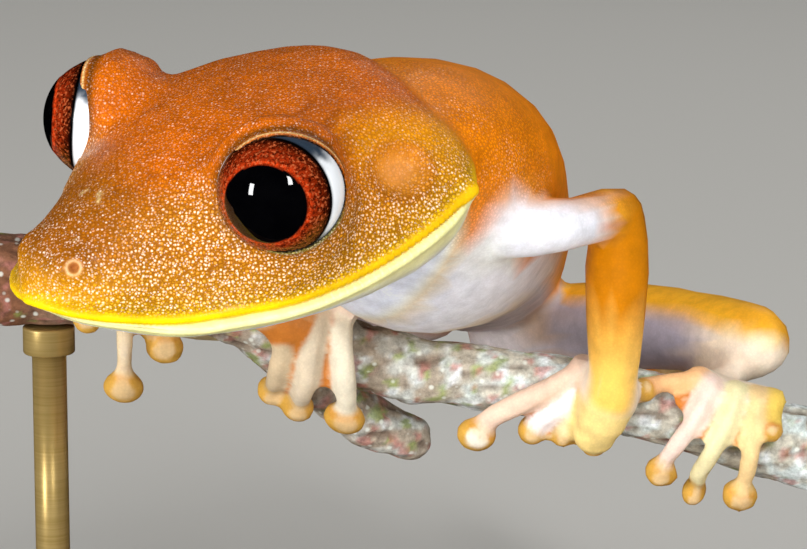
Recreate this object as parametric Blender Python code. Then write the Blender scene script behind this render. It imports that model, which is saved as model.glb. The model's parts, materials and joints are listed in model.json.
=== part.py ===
"""A map tree frog, life size, sitting across a cut length of branch on a plain display stand.

Sizes are in millimetres, turned to metres by MM. +Z is up, the frog looks towards -Y, its left side is at +X,
and the origin is the middle of the underside of the stand's base.
"""

import math

import bmesh
import bpy
from mathutils import Matrix, Vector, noise

MM = 0.001

GAP = 0.3  # room between two pieces that touch
JOINT_REACH = 6.0  # how far from a joint the flat between two pieces runs

# Head. Its own axes run forward, left and up from the point midway between the eyes.
HEAD_CENTRE = (-11.21, -20.91, 40.82)
HEAD_YAW = 52.0  # turned from straight ahead towards the frog's right
HEAD_PITCH = 10.7  # nose down
HEAD_ROLL = 6.2  # left side down
HEAD_RINGS = 34
PLAIN_HEAD_TRIANGLES = 3500  # before the mouth, the eyes' openings and the ears are cut
HEAD_TRIANGLES = 5000
# Station along the head, then half width and height at the lip, half width and height of the crown's edge above
# the eye, height of the crown and of the throat on the midline.
HEAD_STATIONS = (
    (10.9, 1.2, -5.1, 0.7, -3.9, -3.4, -5.7),
    (10.2, 2.8, -5.3, 1.6, -3.0, -2.4, -6.3),
    (8.8, 4.7, -5.5, 2.5, -2.5, -1.5, -6.9),
    (6.4, 6.7, -5.8, 3.5, -1.7, -0.2, -7.5),
    (3.5, 8.1, -5.9, 4.7, -0.3, 1.2, -8.0),
    (0.0, 9.3, -5.9, 5.8, 1.2, 2.35, -8.4),
    (-4.0, 10.2, -5.2, 6.4, 1.7, 2.8, -8.7),
    (-8.2, 10.6, -3.9, 6.5, 1.5, 2.9, -8.6),
    (-11.0, 9.9, -2.8, 5.9, 0.9, 2.6, -8.0),
    (-12.9, 7.4, -2.4, 4.4, -0.4, 1.0, -7.0),
    (-14.5, 4.0, -2.2, 2.4, -1.8, -1.0, -5.4),
)
SNOUT_POLE = (11.15, 0.0, -4.9)
NAPE_POLE = (-15.2, 0.0, -2.6)
MOUTH_CORNER = -9.9
LOREAL_HOLLOW = 0.35  # how far the side of the snout sinks in
ORBIT_FULLNESS = 1.15  # how far the skin below the eye stands out
CHEEK_FULLNESS = 0.6  # how far the cheek behind the eye stands out
LIP_ROUNDING = 0.4
MOUTH_DEPTH = 0.45
MOUTH_HALF_HEIGHT = 0.22

EYE_CENTRE = (0.0, 7.9, 0.0)
EYE_RADIUS = 3.35
CORNEA_RADIUS = 2.85
CORNEA_AHEAD = 1.05  # how far its middle lies in front of the middle of the eye
GAZE_AZIMUTH = {1: 36.0, -1: 46.0}  # of the left and the right eye
GAZE_ELEVATION = 18.0
SOCKET_RADIUS = EYE_RADIUS + GAP
LID_RADIUS = 4.0
LID_REACH = 5.2  # the skin is finer this near to the middle of an eye
LID_BLEND = 1.3  # how softly the lid runs into the crown
CHEEK_BLEND = 3.0  # and into the cheek below it
LID_ROOT = 2.6  # depth inside the head from which the lid is pushed out
EYE_AZIMUTH = 54.0  # the eye's opening faces this far round from straight ahead
EYE_ELEVATION = 20.0
OPENING_RADIUS = 3.2
OPENING_HEIGHT = 0.9  # how far in front of the middle of the eye the rim of the lids lies
OPENING_CUT = 3.5  # how far in front of the eye the middle of the opening's cutter lies
OPENING_WIDTH = 1.22  # the opening is wider than it is high
OPENING_SQUASH = 0.8
NOSTRIL = (9.4, 2.3, -2.75)
TYMPANUM = (-6.9, 9.9, -0.5)
TYMPANUM_RADIUS = 2.0
TYMPANUM_DEPTH = 0.42
# Within these distances the head keeps its fine triangles.
KEEP_EYE = 4.6
KEEP_EAR = 2.6
KEEP_NOSTRIL = 0.8
KEEP_LIP = 0.7
FOLD_PATH = ((-3.6, 7.5, 2.4), (-5.8, 8.2, 2.0), (-8.2, 9.2, 0.7), (-10.1, 10.3, -1.3), (-10.9, 10.7, -3.2))

# Torso: middle of each section, then half width, height above and depth below the middle.
TORSO = (
    ((-3.4, -15.6, 39.4), 7.0, 4.8, 5.6),
    ((-0.9, -12.0, 38.9), 7.9, 5.6, 7.4),
    ((0.9, -7.0, 37.2), 8.1, 6.5, 8.9),
    ((2.3, -1.0, 35.0), 7.3, 6.1, 8.2),
    ((3.4, 6.0, 32.0), 6.6, 5.8, 6.6),
    ((4.3, 12.5, 28.8), 5.8, 5.2, 5.2),
    ((4.9, 18.0, 26.2), 4.2, 3.8, 3.8),
)
TORSO_TRIANGLES = 1500
TORSO_RINGS = 20
TORSO_SIDES = 26
TORSO_SQUARE = 2.05  # 2 gives plain ellipses, more gives fuller corners
VENT = (5.3, 21.6, 24.9)

# Limbs: joints of each leg and arm, then the thickness of the flesh between them.
ARM_LEFT = ((1.6, -14.0, 35.6), (12.1, -8.2, 35.3), (11.9, -8.2, 25.8))
ARM_RIGHT = ((-5.6, -8.4, 35.4), (-12.0, -3.6, 35.6), (-7.6, -7.0, 29.2))
LEG_LEFT = ((6.9, 17.6, 22.4), (20.9, -0.4, 25.9), (12.6, 22.0, 20.4))
LEG_RIGHT = ((1.2, 18.6, 24.4), (-16.6, 3.0, 29.2), (-7.4, 23.6, 22.0))
UPPER_ARM_RADII = (2.0, 1.75, 1.45, 1.5)
FOREARM_RADII = (1.55, 1.85, 1.7, 1.45)
THIGH_RADII = (2.9, 2.8, 2.5, 2.35)
SHANK_RADII = (2.0, 2.3, 2.0, 1.5)
ARM_SWAY = {"left": (1.0, -2.4, 0.0), "right": (-0.5, -1.0, 0.0)}
THIGH_SWAY = {"left": (0.6, -0.4, 0.8), "right": (-0.6, 0.0, 0.5)}
SHANK_SWAY = {"left": (0.8, 0.5, -0.6), "right": (-0.8, 0.5, -0.6)}

WEB_THICKNESS = 0.22  # half of it
WEB_SINK = 0.25  # how far the web lies behind the fingers
DISC_THICKNESS = 0.95  # half of it
PALM_RADII = (1.45, 1.6, 1.5)
SOLE_RADII = (1.5, 1.55, 1.5, 1.6, 1.2)
PALM_FLATNESS = 0.85
# Thickness of a finger or toe, how far along it the web reaches, and the triangles of the whole hand or foot.
HAND_STYLE = (0.7, 0.7, 1200)
FOOT_STYLE = (0.58, 0.5, 1500)

# Branch: middle of the wood and its radius, left to right.
BRANCH = (
    ((-38.0, -3.2, 31.6), 2.5),
    ((-23.5, -3.3, 30.5), 2.6),
    ((-12.0, -3.4, 29.3), 2.25),
    ((-6.5, -3.5, 27.4), 2.05),
    ((-1.1, -3.6, 25.4), 1.95),
    ((5.0, -3.7, 24.5), 1.9),
    ((12.3, -3.8, 23.4), 2.0),
    ((22.5, -3.8, 20.7), 2.35),
    ((38.0, -3.6, 16.9), 2.2),
)
TWIG = (
    ((-8.5, -3.4, 27.8), 1.7),
    ((-5.4, -2.4, 24.2), 1.5),
    ((-2.0, -1.0, 21.4), 1.4),
    ((0.4, 0.2, 20.1), 1.45),
)
BARK_RELIEF = 0.22
BARK_GRAIN = 2.2

BASE_LENGTH = 84.0
BASE_DEPTH = 62.0
BASE_THICKNESS = 4.0
BASE_CORNER = 8.0
BASE_EDGE = 0.8
ROD_RADIUS = 1.0
ROD_PLACES = (-20.5, 27.0)

# The way from wrist or ankle to the palm or the ball of the foot.
PALM_LEFT = ((11.6, -8.0, 24.6), (11.3, -7.2, 24.3))
PALM_RIGHT = ((-6.6, -6.6, 28.4), (-6.0, -6.0, 28.8))
SOLE_LEFT = ((13.6, 16.0, 19.6), (16.0, 8.0, 19.6), (17.8, 0.5, 22.2), (18.4, -2.2, 23.8))
SOLE_RIGHT = ((-10.2, 17.0, 23.0), (-12.8, 8.4, 25.4), (-14.4, 0.6, 28.8), (-14.9, -2.0, 31.0))

# Digits: where each leaves the palm and where its disc lies, as places along the branch and angles round it (90 is
# on top, 180 faces the viewer, 270 is below), how far the disc stays off the bark, and its radius.
HAND_LEFT = (
    (10.2, 4.6, 130.0, 228.0, 1.5, 1.2),
    (10.6, 7.7, 142.0, 226.0, 0.75, 0.9),
    (11.5, 9.5, 148.0, 222.0, 0.75, 0.85),
    (12.5, 11.4, 156.0, 228.0, 0.8, 0.88),
)
HAND_RIGHT = (
    (-4.4, -2.3, 118.0, 242.0, 1.5, 1.28),
    (-5.6, -4.6, 118.0, 256.0, 1.7, 1.0),
    (-6.8, -6.3, 118.0, 262.0, 1.3, 0.95),
    (-8.0, -8.4, 112.0, 150.0, 0.7, 0.9),
)
FOOT_LEFT = (
    (16.2, 13.4, 118.0, 152.0, 0.7, 0.8),
    (16.9, 15.6, 126.0, 236.0, 1.3, 0.95),
    (18.4, 17.5, 128.0, 252.0, 1.5, 0.75),
    (19.6, 20.2, 128.0, 238.0, 1.25, 1.12),
    (20.6, 20.7, 124.0, 160.0, 0.7, 0.75),
)
FOOT_RIGHT = (
    (-12.6, -11.3, 98.0, 150.0, 0.7, 0.95),
    (-13.6, -13.2, 104.0, 216.0, 1.5, 1.15),
    (-14.8, -14.7, 106.0, 196.0, 0.8, 1.0),
    (-16.0, -15.4, 106.0, 237.0, 3.35, 1.3),
    (-17.2, -17.8, 104.0, 200.0, 0.8, 0.95),
)
BRANCH_TRIANGLES = 1050
BRANCH_ENDS = (-36.5, 36.5)
# Pieces that come near each other: the second gives way to the first.
APART = (
    ("torso", "hand_left"),
    ("torso", "hand_right"),
    ("thigh_left", "forearm_left"),
    ("thigh_left", "foot_left"),
    ("thigh_right", "foot_right"),
    ("forearm_right", "foot_right"),
    ("forearm_right", "thigh_right"),
    ("hand_left", "foot_left"),
    ("hand_right", "foot_right"),
)

SKIN_COLOUR = (0.75, 0.33, 0.06)
PALE_COLOUR = (0.80, 0.66, 0.50)
EYE_COLOUR = (0.30, 0.06, 0.03)
BARK_COLOUR = (0.45, 0.42, 0.36)
BASE_COLOUR = (0.10, 0.06, 0.04)
ROD_COLOUR = (0.60, 0.58, 0.52)


def clear_scene():
    for obj in list(bpy.data.objects):
        bpy.data.objects.remove(obj)


def material(name, colour, roughness, metallic=0.0):
    made = bpy.data.materials.new(name)
    made.use_nodes = True
    shader = made.node_tree.nodes["Principled BSDF"]
    shader.inputs["Base Color"].default_value = (*colour, 1.0)
    shader.inputs["Roughness"].default_value = roughness
    shader.inputs["Metallic"].default_value = metallic
    return made


def vec(point):
    """A place given in millimetres."""
    return Vector(point) * MM


def along(values, t):
    """A smooth value through a row of numbers or vectors, at t from 0 to 1 along the row."""
    place = min(max(t, 0.0), 1.0) * (len(values) - 1)
    i = min(int(place), len(values) - 2)
    f = place - i
    p1, p2 = values[i], values[i + 1]
    p0 = values[i - 1] if i > 0 else p1 * 2 - p2
    p3 = values[i + 2] if i + 2 < len(values) else p2 * 2 - p1
    return (p1 * 2 + (p2 - p0) * f + (p0 * 2 - p1 * 5 + p2 * 4 - p3) * f * f
            + (p1 * 3 - p0 - p2 * 3 + p3) * f * f * f) * 0.5


def object_from(bm, name, finish):
    bm.normal_update()
    bmesh.ops.recalc_face_normals(bm, faces=bm.faces)
    mesh = bpy.data.meshes.new(name)
    bm.to_mesh(mesh)
    bm.free()
    obj = bpy.data.objects.new(name, mesh)
    obj.data.materials.append(finish)
    bpy.context.scene.collection.objects.link(obj)
    return obj


def loft(rings, first_pole, last_pole):
    """A closed surface through rings of equally many points, drawn to a point at each end."""
    bm = bmesh.new()
    rows = [[bm.verts.new(p) for p in ring] for ring in rings]
    sides = len(rows[0])
    for row, following in zip(rows, rows[1:]):
        for i in range(sides):
            j = (i + 1) % sides
            bm.faces.new((row[i], row[j], following[j], following[i]))
    for row, pole in ((rows[0], bm.verts.new(first_pole)), (rows[-1], bm.verts.new(last_pole))):
        for i in range(sides):
            bm.faces.new((row[i], row[(i + 1) % sides], pole))
    return bm


def tube(points, radii, flat, hint, sides, rings):
    """A limb: a tube of changing radius along a smooth line, with round ends, thinner along hint."""
    line = [vec(p) for p in points]
    count = rings - 1
    places = [along(line, k / count) for k in range(rings)]
    sizes = [along(radii, k / count) * MM for k in range(rings)]
    cap_steps = (80.0, 55.0, 28.0)
    stations = []
    for k, (place, size) in enumerate(zip(places, sizes)):
        ahead = places[min(k + 1, count)] - places[max(k - 1, 0)]
        stations.append((place, ahead.normalized(), size))
    first, last = stations[0], stations[-1]
    turned = [math.radians(a) for a in cap_steps]
    caps = []
    for (place, ahead, size), way, angles in ((first, -1, turned), (last, 1, turned[::-1])):
        caps.append([(place + ahead * size * math.sin(a) * way, ahead, size * math.cos(a)) for a in angles])
    rows = []
    for place, ahead, size in caps[0] + stations + caps[1]:
        across = ahead.cross(Vector(hint)).normalized() * size
        thin = across.cross(ahead) * flat
        turn = [2 * math.pi * i / sides for i in range(sides)]
        rows.append([place + across * math.cos(a) + thin * math.sin(a) for a in turn])
    return loft(rows, first[0] - first[1] * first[2], last[0] + last[1] * last[2])


def ball(centre, radii, axes, sides=12):
    """An ellipsoid on three given directions."""
    bm = bmesh.new()
    frame = Matrix([a.normalized() * r * MM for a, r in zip(axes, radii)]).transposed().to_4x4()
    frame.translation = centre
    rows = max(6, sides * 2 // 3)
    bmesh.ops.create_uvsphere(bm, u_segments=sides, v_segments=rows, radius=1.0, matrix=frame)
    return bm


def triangles(mesh):
    return sum(len(face.vertices) - 2 for face in mesh.polygons)


def settle(obj):
    """Turns what the object's modifiers make into its own mesh."""
    graph = bpy.context.evaluated_depsgraph_get()
    made = bpy.data.meshes.new_from_object(obj.evaluated_get(graph))
    obj.modifiers.clear()
    old, obj.data = obj.data, made
    bpy.data.meshes.remove(old)


def keep_largest(obj):
    """Leaves only the largest closed surface of a mesh."""
    bm = bmesh.new()
    bm.from_mesh(obj.data)
    left = set(bm.verts)
    groups = []
    while left:
        reached = [left.pop()]
        for vert in reached:
            near = {edge.other_vert(vert) for edge in vert.link_edges} & left
            left -= near
            reached.extend(near)
        groups.append(reached)
    groups.sort(key=len)
    for group in groups[:-1]:
        bmesh.ops.delete(bm, geom=group, context="VERTS")
    bm.to_mesh(obj.data)
    bm.free()


def fuse(pieces, name, finish, voxel, budget):
    """Melts pieces that overlap into one smooth closed body of about so many triangles."""
    together = bmesh.new()
    for piece in pieces:
        part = bpy.data.meshes.new("part")
        bmesh.ops.recalc_face_normals(piece, faces=piece.faces)
        piece.to_mesh(part)
        piece.free()
        together.from_mesh(part)
        bpy.data.meshes.remove(part)
    obj = object_from(together, name, finish)
    melt = obj.modifiers.new("melt", "REMESH")
    melt.mode = "VOXEL"
    melt.voxel_size = voxel * MM
    even = obj.modifiers.new("even", "SMOOTH")
    even.iterations = 3
    settle(obj)
    simpler(obj, budget)
    keep_largest(obj)
    return obj


def grown(obj, by):
    """A hidden copy of an object, swollen by a gap's width, to cut its neighbours with."""
    bm = bmesh.new()
    bm.from_mesh(obj.data)
    bmesh.ops.recalc_face_normals(bm, faces=bm.faces)
    bm.normal_update()
    moves = [vert.normal * by * MM for vert in bm.verts]
    for vert, move in zip(bm.verts, moves):
        vert.co += move
    cutter = object_from(bm, obj.name + "_room", obj.data.materials[0])
    cutter.hide_render = True
    cutter.display_type = "WIRE"
    return cutter


def volume(mesh):
    bm = bmesh.new()
    bm.from_mesh(mesh)
    held = bm.calc_volume(signed=True)
    bm.free()
    return held


def cut(obj, *cutters):
    """Takes the cutters out of a piece, with the second solver where the first loses more than the cutter."""
    for cutter in cutters:
        whole = obj.data.copy()
        least = volume(whole) - 1.02 * volume(cutter.data) - 0.5 * MM**3
        for solver in ("EXACT", "MANIFOLD"):
            trim = obj.modifiers.new("trim", "BOOLEAN")
            trim.operation = "DIFFERENCE"
            trim.solver = solver
            trim.object = cutter
            settle(obj)
            if least < volume(obj.data) <= 1.001 * volume(whole) and closed(obj.data):
                break
            obj.data = whole.copy()
    keep_largest(obj)


def closed(mesh):
    bm = bmesh.new()
    bm.from_mesh(mesh)
    whole = all(edge.is_manifold for edge in bm.edges)
    bm.free()
    return whole


def simpler(obj, count, group=""):
    """Fewer triangles, as near the count as it can stay closed with, thinned most where a group is heavy."""
    whole = obj.data.copy()
    for extra in (1.0, 1.06, 1.12, 1.2, 1.3):
        fewer = obj.modifiers.new("fewer", "DECIMATE")
        fewer.ratio = min(1.0, extra * count / triangles(whole))
        fewer.vertex_group = group
        settle(obj)
        if closed(obj.data):
            return
        obj.data = whole.copy()


def slice_off(obj, point, outward):
    """Cuts a piece off flat at a plane and closes it, keeping what lies behind the plane."""
    bm = bmesh.new()
    bm.from_mesh(obj.data)
    whole = bm.verts[:] + bm.edges[:] + bm.faces[:]
    bmesh.ops.bisect_plane(bm, geom=whole, dist=1e-7, plane_co=point, plane_no=outward, clear_outer=True)
    rim = [edge for edge in bm.edges if edge.is_boundary]
    bmesh.ops.edgeloop_fill(bm, edges=rim)
    bmesh.ops.recalc_face_normals(bm, faces=bm.faces)
    bm.to_mesh(obj.data)
    bm.free()
    keep_largest(obj)


def part_at(joint, inner, outer, before, after):
    """Parts two neighbouring pieces of a limb at their joint, along a flat that halves its angle."""
    normal = ((joint - before).normalized() + (after - joint).normalized()).normalized()
    for obj, way in ((inner, normal), (outer, -normal)):
        block = bmesh.new()
        size = 2 * JOINT_REACH * MM
        turn = way.to_track_quat("Z", "Y").to_matrix().to_4x4()
        place = Matrix.Translation(joint + way * (size + GAP * MM) / 2)
        bmesh.ops.create_cube(block, size=size, matrix=place @ turn)
        cutter = object_from(block, "cutter", bpy.data.materials["skin"])
        cutter.hide_render = True
        cutter.display_type = "WIRE"
        cut(obj, cutter)
    cut(outer, grown(inner, GAP))


# Head


def head_axes():
    """The head's forward, left and up directions."""
    yaw, pitch, roll = (math.radians(a) for a in (HEAD_YAW, HEAD_PITCH, HEAD_ROLL))
    level = Vector((-math.sin(yaw), -math.cos(yaw), 0.0))
    side = Vector((math.cos(yaw), -math.sin(yaw), 0.0))
    up = Vector((0.0, 0.0, math.cos(pitch))) + level * math.sin(pitch)
    forward = level * math.cos(pitch) - Vector((0.0, 0.0, math.sin(pitch)))
    return forward, side * math.cos(roll) - up * math.sin(roll), up * math.cos(roll) + side * math.sin(roll)


def head_frame():
    """Takes a place in the head's own millimetres to the part's metres."""
    forward, left, up = head_axes()
    frame = Matrix((forward * MM, left * MM, up * MM)).transposed().to_4x4()
    frame.translation = vec(HEAD_CENTRE)
    return frame


def eased(x, low, high, at_low, at_high):
    """A value that changes softly from one level to another between two places."""
    t = min(max((x - low) / (high - low), 0.0), 1.0)
    return at_low + (at_high - at_low) * t * t * (3 - 2 * t)


def head_ring(values):
    """One cross-section of the head in its own millimetres, from the crown down the left and back up."""
    x, lip, lip_z, crown, crown_z, top, throat = values
    edge, rim = Vector((crown, crown_z)), Vector((lip, lip_z))
    outward = Vector((edge.y - rim.y, rim.x - edge.x)).normalized()
    swell = eased(x, 1.0, 7.0, ORBIT_FULLNESS, -LOREAL_HOLLOW)
    if x < 0.0:
        swell = eased(x, -7.0, -1.0, CHEEK_FULLNESS, ORBIT_FULLNESS)
    side = edge.lerp(rim, 0.5) + outward * swell
    corners = [
        Vector((0.0, top)),
        Vector((0.55 * crown, top + 0.3 * (crown_z - top))),
        edge,
        side,
        Vector((lip - 0.05, lip_z + LIP_ROUNDING)),
        Vector((lip - 0.1, lip_z - LIP_ROUNDING)),
        Vector((0.8 * lip, lip_z + 0.62 * (throat - lip_z))),
        Vector((0.42 * lip, lip_z + 0.92 * (throat - lip_z))),
        Vector((0.0, throat)),
    ]
    mirrored = [Vector((-corners[1].x, corners[1].y))] + corners + [Vector((-corners[-2].x, corners[-2].y))]
    half = []
    for k, steps in enumerate((2, 3, 3, 4, 2, 3, 2, 2)):
        for i in range(steps):
            half.append(along(mirrored[k:k + 4], (1 + i / steps) / 3))
    half.append(corners[-1])
    other = [Vector((-p.x, p.y)) for p in reversed(half[1:-1])]
    return [Vector((x, p.x, p.y)) for p in half + other]


def eye_aim(side):
    """Where the eye on one side looks, in the head's own axes."""
    turn, lift = math.radians(EYE_AZIMUTH), math.radians(EYE_ELEVATION)
    return Vector((math.cos(turn) * math.cos(lift), side * math.sin(turn) * math.cos(lift), math.sin(lift)))


def eye_place(side):
    return Vector((EYE_CENTRE[0], side * EYE_CENTRE[1], EYE_CENTRE[2]))


def bulge(point, side):
    """Pushes the skin over one eye out to the round lid."""
    eye = eye_place(side)
    root = eye - Vector((0.0, side * LID_ROOT, 0.6))
    ray = point - root
    reach = ray.length
    ray.normalize()
    inward = ray.dot(eye - root)
    ball_reach = inward + math.sqrt(max(inward * inward - (eye - root).length_squared + LID_RADIUS**2, 0.0))
    soft = eased(ray.z - 0.5 * max(ray.x, 0.0), -0.8, -0.15, CHEEK_BLEND, LID_BLEND)
    blend = max(soft - abs(reach - ball_reach), 0.0)
    return root + ray * (max(reach, ball_reach) + blend * blend / (4 * soft))


def ridge(point, path, height, width):
    """How far the skin rises where it passes near a line."""
    near = min((point - along(path, k / 24)).length for k in range(25))
    return height * math.exp(-((near / width) ** 2))


def shaped(point):
    """Adds the lids, the fold above the ear and the mounds of the nostrils to a place on the plain head."""
    for side in (1, -1):
        point = bulge(point, side)
    side = 1.0 if point.y >= 0.0 else -1.0
    fold = [Vector((p[0], side * p[1], p[2])) for p in FOLD_PATH]
    outward = Vector((0.0, side * 0.8, 0.6))
    point = point + outward * ridge(point, fold, 0.38, 0.85)
    nostril = Vector((NOSTRIL[0], side * NOSTRIL[1], NOSTRIL[2]))
    return point + Vector((0.4, side * 0.8, 0.4)) * 0.3 * math.exp(-((point - nostril).length_squared / 0.8))


def ball_cutter(centre, radii, axes, sides):
    cutter = object_from(ball(centre, radii, axes, sides), "cutter", bpy.data.materials["skin"])
    cutter.hide_render = True
    cutter.display_type = "WIRE"
    return cutter


def surface(obj, frame, near, facing):
    """The place on a piece's skin, and its direction, met by a ray towards a place inside the head."""
    turn = frame.to_3x3()
    way = (turn @ Vector(facing)).normalized()
    _, place, normal, _ = obj.ray_cast(frame @ Vector(near) + way * 4.0 * MM, -way)
    return place, normal


def mouth_cutter(frame):
    """A thin wedge that follows the edge of the lips from one corner of the mouth to the other."""
    stations = [Vector(s) for s in HEAD_STATIONS]
    samples = [along(stations, k / 48) for k in range(49)]
    samples = [s for s in samples if s[0] > MOUTH_CORNER]
    left = [Vector((s[0], s[1] - 0.07, s[2])) for s in reversed(samples)]
    path = left + [Vector((p.x, -p.y, p.z)) for p in reversed(left)]
    bm = bmesh.new()
    rows = []
    count = len(path) - 1
    for k, place in enumerate(path):
        ahead = (path[min(k + 1, count)] - path[max(k - 1, 0)]).normalized()
        out = Vector((ahead.y, -ahead.x, 0.0)).normalized()
        out = out if out.dot(place) > 0 else -out
        fade = min(1.0, 0.3 + min(k, count - k) / 5)
        corners = (
            place - out * MOUTH_DEPTH * fade,
            place + out * 0.8 + Vector((0, 0, MOUTH_HALF_HEIGHT * 2.6)),
            place + out * 0.8 - Vector((0, 0, MOUTH_HALF_HEIGHT * 2.6)),
        )
        rows.append([bm.verts.new(frame @ c) for c in corners])
    for row, following in zip(rows, rows[1:]):
        for i in range(3):
            bm.faces.new((row[i], row[(i + 1) % 3], following[(i + 1) % 3], following[i]))
    bm.faces.new(rows[0])
    bm.faces.new(rows[-1])
    cutter = object_from(bm, "mouth_cutter", bpy.data.materials["skin"])
    cutter.hide_render = True
    cutter.display_type = "WIRE"
    return cutter


def mark_plain(head, frame):
    """A group that is light round the eyes, ears, nostrils and lips, so that they keep their triangles."""
    into = frame.inverted()
    group = head.vertex_groups.new(name="plain")
    lips = [along([Vector(s[:3]) for s in HEAD_STATIONS], k / 60) for k in range(61)]
    for vert in head.data.vertices:
        place = into @ vert.co
        place.y = abs(place.y)
        detail = (place - Vector(EYE_CENTRE)).length < KEEP_EYE
        detail = detail or (place - Vector(TYMPANUM)).length < KEEP_EAR
        detail = detail or (place - Vector(NOSTRIL)).length < KEEP_NOSTRIL
        detail = detail or min((place - lip).length for lip in lips) < KEEP_LIP
        group.add([vert.index], 0.4 if detail else 1.0, "REPLACE")


def build_head(skin):
    frame = head_frame()
    turn = frame.to_3x3()
    axes = [turn @ Vector(a) for a in ((1, 0, 0), (0, 1, 0), (0, 0, 1))]
    stations = [Vector(s) for s in HEAD_STATIONS]
    rings = [head_ring(along(stations, k / (HEAD_RINGS - 1))) for k in range(HEAD_RINGS)]
    bm = loft(rings, Vector(SNOUT_POLE), Vector(NAPE_POLE))
    for side in (1, -1):
        around = [e for e in bm.edges if max((v.co - eye_place(side)).length for v in e.verts) < LID_REACH]
        bmesh.ops.subdivide_edges(bm, edges=around, cuts=1, use_grid_fill=True)
    for vert in bm.verts:
        vert.co = frame @ shaped(vert.co)
    head = object_from(bm, "head", skin)
    simpler(head, PLAIN_HEAD_TRIANGLES)
    cutters = [mouth_cutter(frame)]
    for side in (1, -1):
        eye = frame @ eye_place(side)
        aim = (turn @ eye_aim(side)).normalized()
        across = aim.cross(axes[2]).normalized()
        upright = across.cross(aim)
        reach = math.sqrt((OPENING_CUT - OPENING_HEIGHT) ** 2 + OPENING_RADIUS**2)
        size = (SOCKET_RADIUS,) * 3
        cutters.append(ball_cutter(eye, size, axes, 18))
        lid = (reach, reach * OPENING_WIDTH, reach * OPENING_SQUASH)
        cutters.append(ball_cutter(eye + aim * OPENING_CUT * MM, lid, (aim, across, upright), 30))
        pit, _ = surface(head, frame, (NOSTRIL[0], side * NOSTRIL[1], NOSTRIL[2]), (0.3, side * 0.85, 0.4))
        cutters.append(ball_cutter(pit, (0.34, 0.34, 0.28), axes, 10))
        ear, facing = surface(head, frame, (TYMPANUM[0], side * TYMPANUM[1], TYMPANUM[2]), (0.0, side, 0.25))
        lens = (TYMPANUM_RADIUS**2 + TYMPANUM_DEPTH**2) / (2 * TYMPANUM_DEPTH)
        along_ear = facing.cross(axes[2]).normalized()
        centre = ear + facing * (lens - TYMPANUM_DEPTH) * MM
        cutters.append(ball_cutter(centre, (lens,) * 3, (along_ear, along_ear.cross(facing), facing), 48))
    cut(head, *cutters)
    mark_plain(head, frame)
    simpler(head, HEAD_TRIANGLES, "plain")
    return head


def build_eye(side, finish, name):
    """The eyeball with the stronger curve of its clear front, turned to where the frog looks."""
    frame = head_frame()
    turn, lift = math.radians(GAZE_AZIMUTH[side]), math.radians(GAZE_ELEVATION)
    gaze = Vector((math.cos(turn) * math.cos(lift), side * math.sin(turn) * math.cos(lift), math.sin(lift)))
    across = gaze.cross(Vector((0, 0, 1))).normalized()
    bm = ball(Vector((0, 0, 0)), (1.0, 1.0, 1.0), (across, gaze.cross(across), gaze), 20)
    for vert in bm.verts:
        out = vert.co.normalized()
        ahead = out.dot(gaze) * CORNEA_AHEAD
        reach = ahead + math.sqrt(ahead * ahead - CORNEA_AHEAD**2 + CORNEA_RADIUS**2)
        vert.co = frame @ (eye_place(side) + out * max(reach, EYE_RADIUS))
    return object_from(bm, name, finish)


# Torso and limbs


def build_torso(skin):
    centres = [vec(row[0]) for row in TORSO]
    widths, ups, downs = ([row[k] * MM for row in TORSO] for k in (1, 2, 3))
    rings = []
    for k in range(TORSO_RINGS):
        t = k / (TORSO_RINGS - 1)
        place = along(centres, t)
        ahead = (along(centres, t + 0.02) - along(centres, t - 0.02)).normalized()
        across = ahead.cross(Vector((0, 0, 1))).normalized()
        upright = across.cross(ahead)
        wide, high, deep = (along(v, t) for v in (widths, ups, downs))
        ring = []
        for i in range(TORSO_SIDES):
            a = 2 * math.pi * i / TORSO_SIDES
            c, s = math.cos(a), math.sin(a)
            full = 1 / (abs(c) ** TORSO_SQUARE + abs(s) ** TORSO_SQUARE) ** (1 / TORSO_SQUARE)
            ring.append(place + across * c * full * wide + upright * s * full * (high if s > 0 else deep))
        rings.append(ring)
    nose = centres[0] - (centres[1] - centres[0]).normalized() * 1.5 * MM
    return object_from(loft(rings, nose, vec(VENT)), "torso", skin)


def limb(start, end, radii, name, skin, flat=1.0, sway=(0.0, 0.0, 0.0), sides=14, rings=10):
    """One length of a leg or an arm from joint to joint, swayed a little to one side in its middle."""
    middle = (Vector(start) + Vector(end)) * 0.5 + Vector(sway)
    return object_from(tube((start, middle, end), radii, flat, (0, 0, 1), sides, rings), name, skin)


# Branch


def branch_at(x):
    """Middle of the branch, its direction and its radius at a place given along X."""
    stations = [Vector((*middle, radius)) for middle, radius in BRANCH]
    low, high = 0.0, 1.0
    for _ in range(24):
        half = (low + high) / 2
        low, high = (half, high) if along(stations, half)[0] < x else (low, half)
    here = along(stations, low)
    ahead = along(stations, min(low + 0.01, 1.0)) - along(stations, max(low - 0.01, 0.0))
    return Vector(here[:3]) * MM, Vector(ahead[:3]).normalized(), here[3] * MM


def on_branch(x, angle, lift):
    """A place so many millimetres off the bark, at an angle round the branch."""
    middle, ahead, radius = branch_at(x)
    front = ahead.cross(Vector((0, 0, 1))).normalized()
    front = front if front.y < 0 else -front
    upright = front.cross(ahead).normalized()
    upright = upright if upright.z > 0 else -upright
    turn = math.radians(angle)
    out = upright * math.sin(turn) - front * math.cos(turn)
    return middle + out * (radius + lift * MM), out


def roughened(bm, seed):
    """Moves every point of a stick in or out a little, as bark does, with a knot here and there."""
    bm.normal_update()
    for vert in list(bm.verts):
        place = vert.co / (BARK_GRAIN * MM) + Vector((seed, 0, 0))
        knots = max(noise.noise(vert.co / (6.5 * MM) + Vector((seed * 2, 3, 1))) - 0.25, 0.0) * 1.6
        vert.co += vert.normal * (noise.noise(place) * BARK_RELIEF + knots) * MM
    return bm


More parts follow.
